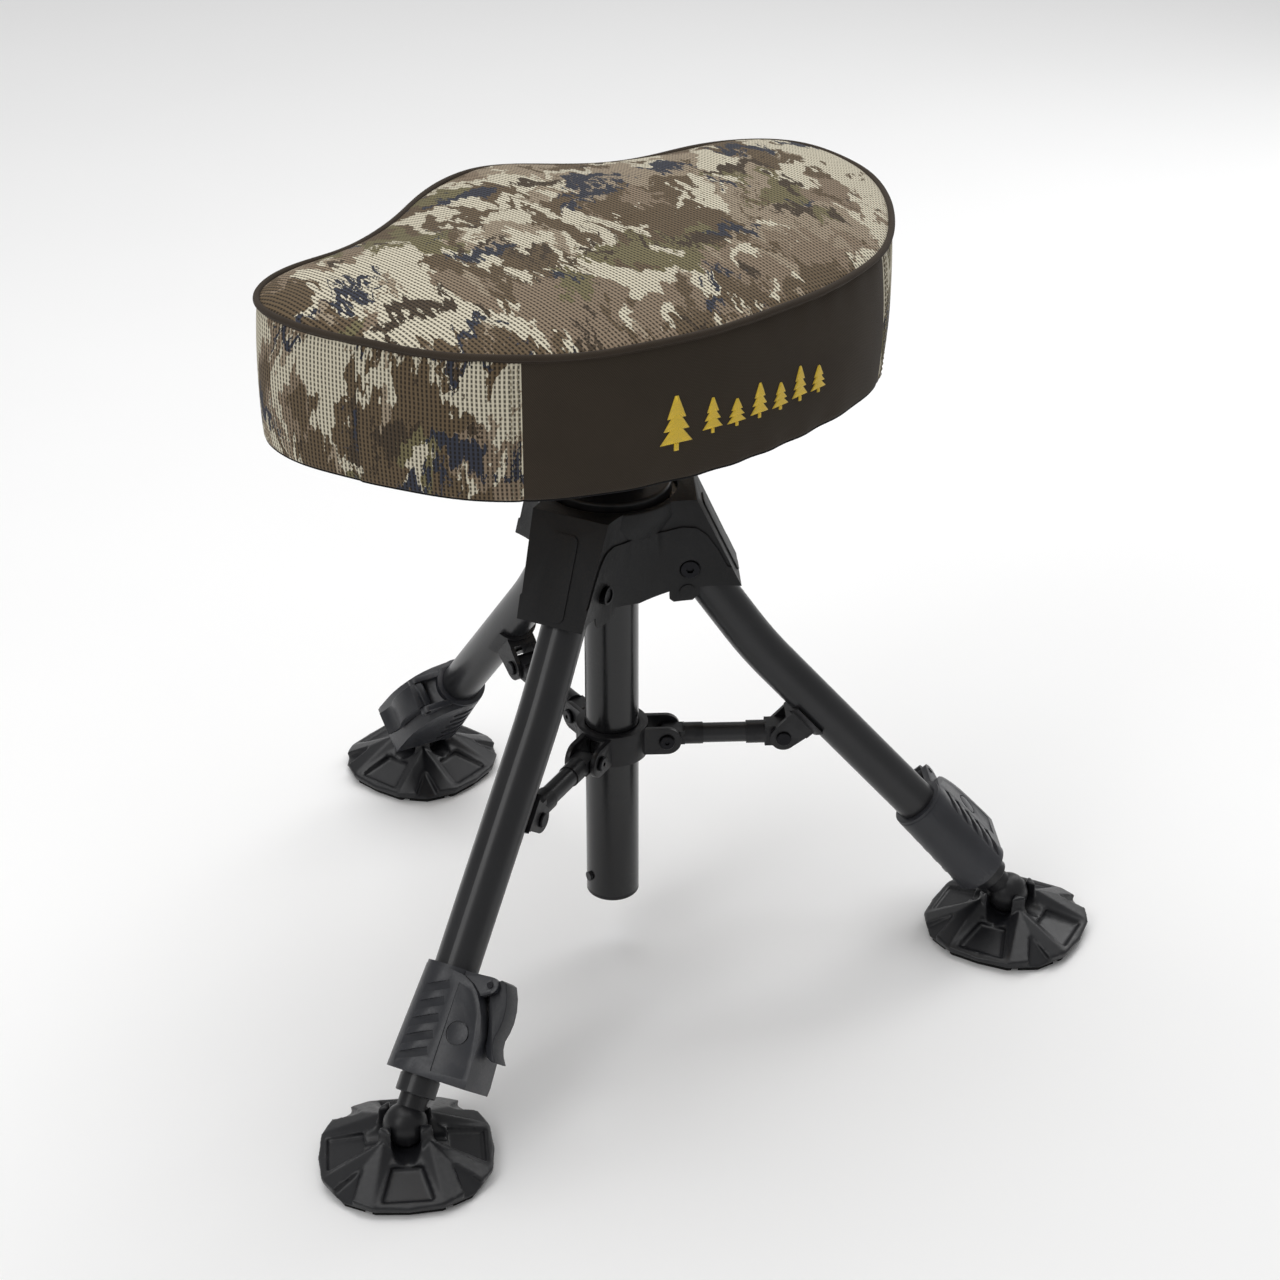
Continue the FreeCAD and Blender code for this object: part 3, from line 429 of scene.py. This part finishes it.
MAT = {
    "hub": moulded("hub_grain", (0.0085, 0.0086, 0.0092), 0.52, 0.0011, 0.30, 0.22),
    "fitting": moulded("black_nylon", (0.0080, 0.0080, 0.0090), 0.36, 0.0016, 0.15, 0.30, wear=0.25),
    "clamp": moulded("clamp_grain", (0.0165, 0.0174, 0.0212), 0.38, 0.0012, 0.24, 0.46, wear=0.5),
    "lever": moulded("lever_grain", (0.0130, 0.0138, 0.0168), 0.40, 0.0012, 0.22, 0.30, wear=0.35),
    "foot": moulded("foot_plastic", (0.0075, 0.0077, 0.0092), 0.36, 0.0022, 0.16, 0.40, wear=0.3),
    "sole": moulded("sole_rubber", (0.0090, 0.0090, 0.0090), 0.80, 0.0012, 0.45, 0.2),
    "bearing": moulded("bearing_plastic", (0.0110, 0.0110, 0.0115), 0.26, 0.0030, 0.08, 0.35),
    "tube": coated("satin_tube", (0.0130, 0.0132, 0.0146), 0.32, 0.10, 0.36),
    "post": coated("gloss_post", (0.0070, 0.0071, 0.0078), 0.24, 0.25, 0.35),
    "plate": coated("painted_plate", (0.0140, 0.0140, 0.0150), 0.42, 0.05),
    "screw": steel("black_oxide", (0.020, 0.020, 0.022), 0.32),
    "steel": steel("drawn_steel", (0.20, 0.20, 0.21), 0.34),
    "board": plywood("plywood_board"),
    "top": mesh_fabric("mesh_top", 0.26, (0.31, 0.17, 0.0), 0.36),
    "band": mesh_fabric("mesh_band", 0.12, (1.37, 0.62, 0.0), 0.46),
    "brown": twill("brown_twill", srgb(57, 50, 42)),
    "piping": twill("piping_twill", srgb(60, 52, 44), 0.0009, 0.5),
    "under": twill("dust_cover", srgb(24, 24, 25), 0.0014, 0.4, 0.03),
    "yellow": thread("yellow_thread", srgb(246, 208, 56)),
    "cream_thread": thread("cream_thread", srgb(150, 139, 112)),
}

CAD_FINISH = {
    "hub_housing": "hub", "swivel_race": "bearing", "leg_pivot_bolts": "screw",
    "leg_pivot_nuts": "screw", "centre_post": "post", "post_end_cap": "fitting",
    "post_stop_button": "fitting", "stem_bushing": "bearing", "seat_board": "board",
    "seat_mount_plate": "plate", "seat_plate_screws": "screw", "seat_stem": "steel",
    "swivel_disc": "fitting", "stem_clip": "steel", "slide_collar": "fitting",
    "collar_screws": "screw", "leg_tube": "tube", "leg_knuckle": "fitting",
    "leg_bracket": "fitting", "bracket_pin": "screw", "inner_tube": "tube",
    "ball_stud": "fitting", "clamp_body": "clamp", "lever_pin": "screw",
    "clamp_lever": "lever", "foot_plate": "foot", "foot_sole": "sole",
    "strut_rod": "tube", "strut_ends": "fitting",
}
for node_name, node in frame["nodes"].items():
    stem = node_name[:-2] if node_name[-2:] in ("_a", "_b", "_c") else node_name
    if stem in CAD_FINISH:
        node.data.materials.clear()
        node.data.materials.append(MAT[CAD_FINISH[stem]])


def eased(node_name, width, segments=2):
    """The same shape as a CAD node with its moulded edges rounded."""
    source = frame["nodes"][node_name]
    mesh = source.data.copy()
    bm = bmesh.new()
    bm.from_mesh(mesh)
    bmesh.ops.remove_doubles(bm, verts=bm.verts, dist=2e-6)
    bmesh.ops.dissolve_degenerate(bm, edges=bm.edges, dist=1e-6)
    bmesh.ops.dissolve_limit(bm, angle_limit=math.radians(1.2), verts=bm.verts, edges=bm.edges)
    bm.to_mesh(mesh)
    bm.free()
    obj = bpy.data.objects.new(node_name + "_eased", mesh)
    bpy.context.scene.collection.objects.link(obj)
    bevel = obj.modifiers.new("ease", "BEVEL")
    bevel.width = width
    bevel.segments = segments
    bevel.limit_method = "ANGLE"
    bevel.angle_limit = math.radians(EASE_ANGLE)
    bevel.use_clamp_overlap = True
    bevel.harden_normals = False
    apply_all(obj)
    for poly in obj.data.polygons:
        poly.use_smooth = True
    obj.data.set_sharp_from_angle(angle=math.radians(40))
    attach(obj, source["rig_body"])
    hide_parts(node_name)


def softened(node_name, voxel, rounds):
    """The same shape as a CAD node with its facets melted together like moulded rubber."""
    source = frame["nodes"][node_name]
    obj = bpy.data.objects.new(node_name + "_soft", source.data.copy())
    bpy.context.scene.collection.objects.link(obj)
    remesh = obj.modifiers.new("skin", "REMESH")
    remesh.mode = "VOXEL"
    remesh.voxel_size = voxel
    smooth = obj.modifiers.new("melt", "SMOOTH")
    smooth.factor = 0.5
    smooth.iterations = rounds
    apply_all(obj)
    for poly in obj.data.polygons:
        poly.use_smooth = True
    obj.data.materials.clear()
    obj.data.materials.append(source.data.materials[0])
    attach(obj, source["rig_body"])
    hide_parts(node_name)


# ------------------------------------------------------------- the seat
def resample(points, count):
    """Evenly spaced points along a closed outline, and its length."""
    ring = np.vstack([points, points[:1]])
    s = np.r_[0, np.cumsum(np.linalg.norm(np.diff(ring, axis=0), axis=1))]
    t = np.linspace(0, s[-1], count, endpoint=False)
    return np.stack([np.interp(t, s, ring[:, 0]), np.interp(t, s, ring[:, 1])], 1), s[-1]


def closed_tangent(points):
    """Unit tangents of a closed path."""
    tangent = np.roll(points, -1, 0) - np.roll(points, 1, 0)
    tangent /= np.linalg.norm(tangent, axis=1)[:, None]
    return tangent


def seat_outline(count):
    """The cushion's outline at its widest level, from the CAD solid, evenly spaced."""
    verts = frame["nodes"]["seat_cushion"].data.vertices
    pts = np.array([v.co[:] for v in verts])
    pts = pts[np.abs(pts[:, 2] - RIM_CAD_Z) < 0.1 * MM][:, :2] - np.array([0.0, POST_Y])
    pts = to_seat(pts)
    pts = pts[np.argsort(np.arctan2(pts[:, 1], pts[:, 0]))]
    keep = np.r_[True, np.linalg.norm(np.diff(pts, axis=0), axis=1) > 0.2 * MM]
    out, _ = resample(pts[keep], count)
    for _ in range(6):
        out = 0.5 * out + 0.25 * (np.roll(out, 1, 0) + np.roll(out, -1, 0))
    tangent = closed_tangent(out)
    out -= np.stack([tangent[:, 1], -tangent[:, 0]], 1) * PIPING_R
    return resample(out, count)


def to_seat(xy):
    """From the row frame, about the post, into the seat's own frame."""
    c, s = math.cos(-SEAT_TURN), math.sin(-SEAT_TURN)
    return xy @ np.array([[c, s], [-s, c]])


def to_row(xyz):
    """From the seat's own frame into the row frame."""
    c, s = math.cos(SEAT_TURN), math.sin(SEAT_TURN)
    out = np.array(xyz, float)
    x, y = out[..., 0].copy(), out[..., 1].copy()
    out[..., 0] = c * x - s * y
    out[..., 1] = s * x + c * y + POST_Y
    return out


SEGMENTS = 480
OUTLINE, GIRTH = seat_outline(SEGMENTS)
TANGENT = closed_tangent(OUTLINE)
NORMAL = np.stack([TANGENT[:, 1], -TANGENT[:, 0]], 1)      # outwards
ARC = np.arange(SEGMENTS) * GIRTH / SEGMENTS


def arc_at(side, front):
    """Arc position of the outline point nearest to a seat-frame point."""
    return ARC[np.argmin(np.hypot(OUTLINE[:, 0] - side, OUTLINE[:, 1] - front))]


# sewn joins between the mesh band and the plain back panel
SEAM_LEFT = arc_at(-140 * MM, -92 * MM)
SEAM_RIGHT = arc_at(108 * MM, -104 * MM)


def wrap(delta):
    """An arc difference, brought to within half of the way round."""
    return (delta + GIRTH / 2) % GIRTH - GIRTH / 2


def band_profile(z):
    """How far the side of the cushion stands in from the piping line at height z."""
    up = (z - BOTTOM_Z) / (EDGE_Z - BOTTOM_Z)
    belly = -2.2 * MM * math.sin(math.pi * min(max(up, 0), 1)) ** 0.7
    low = max(0.0, 1 - (z - BOTTOM_Z) / (3 * MM))
    turn_under = 2.6 * MM * (1 - math.sqrt(max(0.0, 1 - low ** 2)))
    high = max(0.0, 1 - (EDGE_Z - z) / (7 * MM))
    tuck = 0.9 * MM * high ** 2
    return 0.2 * MM + belly + turn_under + tuck


def crown(inset):
    """Height of the top panel over the piping, by distance in from the edge."""
    reach = [0, 1.5, 3, 6, 10, 16, 25, 40, 60, 90, 140]
    lift = [-0.2, 0.9, 1.9, 3.7, 5.7, 7.8, 9.9, 12.1, 13.6, 14.6, 15.0]
    return np.interp(inset / MM, reach, lift) * MM


def ripple(arc, z):
    """Soft unevenness of cloth drawn over foam, gathered a little at the piping and the hem."""
    near_top = np.exp(-((EDGE_Z - z) / (16 * MM)) ** 2)
    near_hem = np.exp(-((z - BOTTOM_Z) / (20 * MM)) ** 2)
    out = 0.22 * np.sin(arc * 41 + 3 * np.sin(arc * 17))
    out = out + 0.16 * np.sin(arc * 97 + z * 60 + 1.3)
    out = out + 0.30 * near_top * np.sin(arc * 190 + 4 * np.sin(arc * 23))
    out = out + 0.45 * near_hem * np.sin(arc * 150 + 5 * np.sin(arc * 19 + 2))
    return out * MM


def cushion_rows():
    """Rings of the cushion from the middle of the top to the middle underneath."""
    rows = []
    inset_edge = 14 * MM
    inner = OUTLINE - NORMAL * inset_edge
    for share in np.linspace(0.03, 0.93, 16):
        ring = inner * share
        gap = np.linalg.norm(inner - ring, axis=1) * 0.9 + inset_edge
        rows.append(("top", ring, EDGE_Z + crown(gap)))
    for inset in (14, 11.5, 9, 7, 5.2, 3.8, 2.6, 1.6):
        ring = OUTLINE - NORMAL * inset * MM
        rows.append(("top", ring, EDGE_Z + crown(np.full(SEGMENTS, inset * MM))))
    levels = [EDGE_Z - d * MM for d in (0.4, 1.6, 3, 5, 8)]
    levels += list(np.linspace(EDGE_Z - 14 * MM, BOTTOM_Z + 12 * MM, 10))
    levels += [BOTTOM_Z + d * MM for d in (9, 6.5, 4.5, 2.8, 1.5, 0.6, 0.1)]
    seam = np.minimum(np.abs(wrap(ARC - SEAM_LEFT)), np.abs(wrap(ARC - SEAM_RIGHT)))
    pinch = 0.9 * MM * np.exp(-(seam / (1.6 * MM)) ** 2)
    lean = LEAN * np.clip((OUTLINE[:, 0] - LEAN_START) / LEAN_SPAN, 0, 1)
    for z in levels:
        drop = (EDGE_Z - z) / (EDGE_Z - BOTTOM_Z)
        depth = band_profile(z) + pinch * 0.8 + ripple(ARC, z) + lean * drop
        rows.append(("side", OUTLINE - NORMAL * depth[:, None], np.full(SEGMENTS, z)))
    under = OUTLINE - NORMAL * (band_profile(BOTTOM_Z) + 2 * MM + lean)[:, None]
    for share in (1.0, 0.96, 0.8, 0.4, 0.05):
        rows.append(("under", under * share, np.full(SEGMENTS, UNDER_Z)))
    return rows


def in_back_panel(arc):
    """Whether an arc position is on the plain brown panel."""
    span = (SEAM_RIGHT - SEAM_LEFT) % GIRTH
    return (arc - SEAM_LEFT) % GIRTH < span


def build_cushion():
    """The sewn cushion as one mesh, with the rings it was made from."""
    rows = cushion_rows()
    points = to_row(np.vstack([np.column_stack([ring, z]) for _, ring, z in rows]))
    count = len(rows)
    top_pole = to_row(np.array([[0.0, 0.0, EDGE_Z + CROWN_RISE]]))
    low_pole = to_row(np.array([[0.0, 0.0, UNDER_Z]]))
    points = np.vstack([points, top_pole, low_pole])
    faces, mats, uvs = [], [], []
    for r in range(count - 1):
        kind = rows[r + 1][0]
        for i in range(SEGMENTS):
            j = (i + 1) % SEGMENTS
            here, below = r * SEGMENTS, (r + 1) * SEGMENTS
            faces.append((here + i, below + i, below + j, here + j))
            a0, a1 = ARC[i], ARC[i] + GIRTH / SEGMENTS
            if kind == "side":
                z0, z1 = rows[r][2][i], rows[r + 1][2][i]
                uvs += [(a0, z0), (a0, z1), (a1, z1), (a1, z0)]
                mats.append(1 if not in_back_panel(ARC[i] + 0.5 * GIRTH / SEGMENTS) else 2)
            else:
                uvs += [tuple(rows[r][1][i]), tuple(rows[r + 1][1][i]),
                        tuple(rows[r + 1][1][j]), tuple(rows[r][1][j])]
                mats.append(0 if kind == "top" else 3)
    top, low = len(points) - 2, len(points) - 1
    last = (count - 1) * SEGMENTS
    for i in range(SEGMENTS):
        j = (i + 1) % SEGMENTS
        faces.append((top, i, j))
        uvs += [(0, 0), tuple(rows[0][1][i]), tuple(rows[0][1][j])]
        mats.append(0)
        faces.append((low, last + j, last + i))
        uvs += [(0, 0), tuple(rows[-1][1][j]), tuple(rows[-1][1][i])]
        mats.append(3)
    obj = new_mesh("seat_pad", points, faces,
                   [MAT["top"], MAT["band"], MAT["brown"], MAT["under"]], mats, uvs)
    return obj, rows


def tube_mesh(name, path, radius, sides, material):
    """A round cord along a closed path of row-frame points, with UVs in metres."""
    path = np.asarray(path, float)
    n = len(path)
    tangent = closed_tangent(path)
    up = np.tile([0.0, 0.0, 1.0], (n, 1))
    side = np.cross(tangent, up)
    side /= np.linalg.norm(side, axis=1)[:, None]
    up = np.cross(side, tangent)
    verts = []
    for k in range(sides):
        a = 2 * math.pi * k / sides
        verts.append(path + radius * (math.cos(a) * side + math.sin(a) * up))
    verts = np.stack(verts, 1).reshape(-1, 3)
    loop = np.vstack([path, path[:1]])
    step = np.r_[0, np.cumsum(np.linalg.norm(np.diff(loop, axis=0), axis=1))]
    faces, uvs = [], []
    for i in range(n):
        j = (i + 1) % n
        for k in range(sides):
            m = (k + 1) % sides
            faces.append((i * sides + k, i * sides + m, j * sides + m, j * sides + k))
            v0, v1 = 2 * math.pi * radius * k / sides, 2 * math.pi * radius * (k + 1) / sides
            uvs += [(step[i], v0), (step[i], v1), (step[i + 1], v1), (step[i + 1], v0)]
    return new_mesh(name, verts, faces, [material], None, uvs)


def side_point(arc, z, lift=0.0):
    """A point on the finished side of the cushion, lifted outwards, in the row frame."""
    f = (arc % GIRTH) / GIRTH * SEGMENTS
    i = int(f) % SEGMENTS
    j = (i + 1) % SEGMENTS
    t = f - int(f)
    row = np.interp(-z, -LEVELS, np.arange(len(LEVELS)))
    r = min(int(row), len(LEVELS) - 2)
    u = row - r
    upper = SIDE_GRID[r, i] * (1 - t) + SIDE_GRID[r, j] * t
    lower = SIDE_GRID[r + 1, i] * (1 - t) + SIDE_GRID[r + 1, j] * t
    return upper * (1 - u) + lower * u + outward(arc) * lift


def stitch_line(name, place, total, material, pitch=3.3 * MM, length=2.3 * MM,
                radius=0.36 * MM):
    """Separate raised stitches; place(distance) gives a point and the way out there."""
    verts, faces, uvs = [], [], []
    sides, rings = 6, 5
    for k in range(int(total / pitch)):
        start, stop = place(k * pitch), place(k * pitch + length)
        axis = stop[0] - start[0]
        axis = axis / np.linalg.norm(axis)
        out = start[1]
        across = np.cross(axis, out)
        base = len(verts)
        for r in range(rings):
            t = r / (rings - 1)
            mid = start[0] * (1 - t) + stop[0] * t
            bulge = math.sin(math.pi * (0.12 + 0.76 * t))
            mid = mid + out * (0.30 * MM * bulge - 0.1 * MM)
            for s in range(sides):
                a = 2 * math.pi * s / sides
                verts.append(mid + radius * bulge * (math.cos(a) * across + math.sin(a) * out))
        for r in range(rings - 1):
            for s in range(sides):
                m = (s + 1) % sides
                faces.append((base + r * sides + s, base + r * sides + m,
                              base + (r + 1) * sides + m, base + (r + 1) * sides + s))
                uvs += [(0, 0), (0.001, 0), (0.001, 0.0006), (0, 0.0006)]
        faces.append(tuple(base + s for s in reversed(range(sides))))
        uvs += [(0, 0)] * sides
        faces.append(tuple(base + (rings - 1) * sides + s for s in range(sides)))
        uvs += [(0, 0)] * sides
    return new_mesh(name, np.array(verts), faces, [material], None, uvs)


def outward(arc):
    """The level direction out of the cushion's side, in the row frame."""
    i = int((arc % GIRTH) / GIRTH * SEGMENTS) % SEGMENTS
    n = NORMAL[i]
    c, s = math.cos(SEAT_TURN), math.sin(SEAT_TURN)
    return np.array([c * n[0] - s * n[1], s * n[0] + c * n[1], 0.0])


def vertical_stitches(name, arc, material):
    """A row of stitches up the side of the cushion."""
    low, high = BOTTOM_Z + 3 * MM, EDGE_Z - 3 * MM

    def place(d):
        z = min(low + d, high)
        return side_point(arc, z, 0.25 * MM), outward(arc)

    return stitch_line(name, place, high - low, material)


cushion, ROWS = build_cushion()


def plump(obj, rows):
    """Let the top and sides swell against the piping and the hem."""
    soft = obj.copy()
    soft.data = obj.data.copy()
    bpy.context.scene.collection.objects.link(soft)
    rest = np.array([v.co[:] for v in soft.data.vertices])
    pin = soft.vertex_groups.new(name="pin")
    for r, (kind, ring, z) in enumerate(rows):
        near_edge = abs(z[0] - EDGE_Z) < 2.5 * MM
        if near_edge or kind == "under":
            pin.add(list(range(r * SEGMENTS, (r + 1) * SEGMENTS)), 1.0, "REPLACE")
    pin.add([len(rest) - 1], 1.0, "REPLACE")
    cloth = soft.modifiers.new("swell", "CLOTH")
    s = cloth.settings
    s.quality = 5
    s.mass = 0.25
    s.use_pressure = True
    s.uniform_pressure_force = 4.0
    s.tension_stiffness = 30
    s.compression_stiffness = 30
    s.shear_stiffness = 20
    s.bending_stiffness = 8
    s.vertex_group_mass = "pin"
    s.effector_weights.gravity = 0.0
    cloth.point_cache.frame_start = 1
    cloth.point_cache.frame_end = SWELL_FRAMES
    scene = bpy.context.scene
    for f in range(1, SWELL_FRAMES + 1):
        scene.frame_set(f)
    graph = bpy.context.evaluated_depsgraph_get()
    swollen = np.array([v.co[:] for v in soft.evaluated_get(graph).data.vertices])
    scene.frame_set(1)
    move = swollen - rest
    size = np.linalg.norm(move, axis=1)
    factor = SWELL_CAP * np.tanh(size / SWELL_CAP) / np.maximum(size, 1e-9)
    final = rest + move * factor[:, None]
    for v, co in zip(obj.data.vertices, final):
        v.co = co
    bpy.data.objects.remove(soft)


plump(cushion, ROWS)
SIDE_ROWS = [r for r, (kind, ring, z) in enumerate(ROWS) if kind == "side"]
LEVELS = np.array([ROWS[r][2][0] for r in SIDE_ROWS])
SIDE_GRID = np.array([v.co[:] for v in cushion.data.vertices])
SIDE_GRID = SIDE_GRID[SIDE_ROWS[0] * SEGMENTS:(SIDE_ROWS[-1] + 1) * SEGMENTS]
SIDE_GRID = SIDE_GRID.reshape(len(SIDE_ROWS), SEGMENTS, 3)
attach(cushion, "seat")
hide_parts("seat_cushion")

# piping round the top edge, with a gentle wander like a sewn cord
lift = 0.6 * MM + 0.35 * MM * np.sin(ARC * 35) + 0.25 * MM * np.sin(ARC * 83 + 1)
piping_path = to_row(np.column_stack([OUTLINE, EDGE_Z + lift]))
piping = tube_mesh("seat_piping", piping_path, PIPING_R, 14, MAT["piping"])
# the narrow sewn lip under the piping
lip_z = np.full(SEGMENTS, EDGE_Z - 2.3 * MM) + lift
lip_path = to_row(np.column_stack([OUTLINE - NORMAL * LIP_R, lip_z]))
lip = tube_mesh("piping_lip", lip_path, LIP_R, 8, MAT["piping"])
hem_path = np.array([side_point(a, BOTTOM_Z + 0.7 * MM, -0.2 * MM) for a in ARC])
hem = tube_mesh("seat_hem", hem_path, HEM_R, 8, MAT["under"])
for piece in (piping, lip, hem):
    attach(piece, "seat")

for tag, arc, way in (("left", SEAM_LEFT, -1), ("right", SEAM_RIGHT, 1)):
    for k, offset in enumerate(STITCH_OFFSETS):
        row = vertical_stitches(f"seam_stitch_{tag}_{k}", arc + way * offset, MAT["cream_thread"])
        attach(row, "seat")


# ------------------------------------------------- plain embroidered motif
def raised(name, polygons, material, lift=0.9 * MM):
    """Flat shapes in (arc, height) laid on the side of the cushion, edges sloped."""
    verts, faces, uvs = [], [], []
    for poly in polygons:
        centre = np.mean(poly, axis=0)
        base = len(verts)
        loops = ((1.0, -0.3 * MM), (1.0, 0.35 * lift), (0.90, 0.85 * lift), (0.55, lift))
        for share, up in loops:
            for a, z in poly:
                q = centre + (np.array([a, z]) - centre) * share
                verts.append(side_point(q[0], q[1], up))
        m = len(poly)
        for r in range(len(loops) - 1):
            for s in range(m):
                t = (s + 1) % m
                faces.append((base + r * m + s, base + r * m + t,
                              base + (r + 1) * m + t, base + (r + 1) * m + s))
                uvs += [tuple(poly[s]), tuple(poly[t]), tuple(poly[t]), tuple(poly[s])]
        faces.append(tuple(base + (len(loops) - 1) * m + s for s in range(m)))
        uvs += [tuple(p) for p in poly]
        faces.append(tuple(base + s for s in reversed(range(m))))
        uvs += [tuple(p) for p in reversed(poly)]
    return new_mesh(name, np.array(verts), faces, [material], None, uvs)


def motif(centre_arc, z):
    """A plain line of pines, one tall and six small."""
    shapes = []

    def pine(x, foot, tall, wide):
        def add(points):
            shapes.append(np.array([(centre_arc + (x + px) * MM, z + (foot + py * tall) * MM)
                                    for px, py in points]))

        for half, low, high in ((0.50, 0.14, 0.50), (0.40, 0.38, 0.72), (0.29, 0.60, 1.0)):
            w = half * wide
            add([(-w, low), (w, low), (0.05 * wide, high), (-0.05 * wide, high)])
        add([(-0.07 * wide, 0.0), (0.07 * wide, 0.0), (0.07 * wide, 0.14), (-0.07 * wide, 0.14)])

    pine(-49, -15, 31, 19)
    for k in range(6):
        pine(-27 + 15.5 * k, -10, 20 if k % 2 == 0 else 15.5, 12.5)
    return shapes


MOTIF_ARC = arc_at(-14 * MM, -134 * MM)
MOTIF_Z = (EDGE_Z + BOTTOM_Z) / 2 - 6 * MM
badge = raised("embroidered_motif", motif(MOTIF_ARC, MOTIF_Z), MAT["yellow"])
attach(badge, "seat")

# ------------------------------------------------------ eased moulded parts
eased("hub_housing", 0.9 * MM, 3)
eased("slide_collar", 0.5 * MM)
for leg in LEGS:
    eased("clamp_body_" + leg, 0.6 * MM)
    eased("clamp_lever_" + leg, 0.6 * MM)
    softened("foot_plate_" + leg, FOOT_VOXEL, FOOT_ROUNDS)


# ------------------------------------------------------- floor, light, camera
def floor_material():
    n = Nodes("pale_floor")
    p = n.obj()
    haze = n.noise(p, 3.0, 2.0)
    n.set(Base_Color=n.mix(haze, (0.93, 0.93, 0.93), (0.96, 0.96, 0.96)), Roughness=0.9)
    n.set(Specular_IOR_Level=0.1)
    return n.mat


floor = new_mesh("studio_floor", [(-6, -6, 0), (6, -6, 0), (6, 6, 0), (-6, 6, 0)], [(0, 1, 2, 3)],
                 [floor_material()])

world = bpy.data.worlds.new("studio")
bpy.context.scene.world = world
world.use_nodes = True
world.node_tree.nodes["Background"].inputs["Color"].default_value = (1.0, 1.0, 1.0, 1.0)
world.node_tree.nodes["Background"].inputs["Strength"].default_value = 0.42


def area(name, position, target, size, power):
    data = bpy.data.lights.new(name, "AREA")
    data.shape = "RECTANGLE"
    data.size, data.size_y = size
    data.energy = power
    obj = bpy.data.objects.new(name, data)
    obj.location = position
    obj.rotation_euler = (Vector(target) - Vector(position)).to_track_quat("-Z", "Y").to_euler()
    bpy.context.scene.collection.objects.link(obj)


area("overhead", (0.2, 0.5, 2.6), (0, 0, 0.0), (2.6, 2.2), 40)
area("key", (-1.5, -0.5, 1.5), (0, 0, 0.25), (0.7, 1.4), 9)
area("rim", (1.5, 0.4, 1.1), (0, 0, 0.2), (0.5, 1.3), 6)

camera_data = bpy.data.cameras.new("camera")
camera_data.lens = CAMERA_LENS
camera_data.sensor_width = 36.0
camera_data.clip_end = 50.0
camera = bpy.data.objects.new("camera", camera_data)
camera.location = CAMERA_AT
camera.rotation_euler = Euler((math.radians(90 - CAMERA_DOWN), 0.0, math.radians(CAMERA_TURN)))
bpy.context.scene.collection.objects.link(camera)
bpy.context.scene.camera = camera
bpy.context.scene.view_settings.view_transform = "Standard"
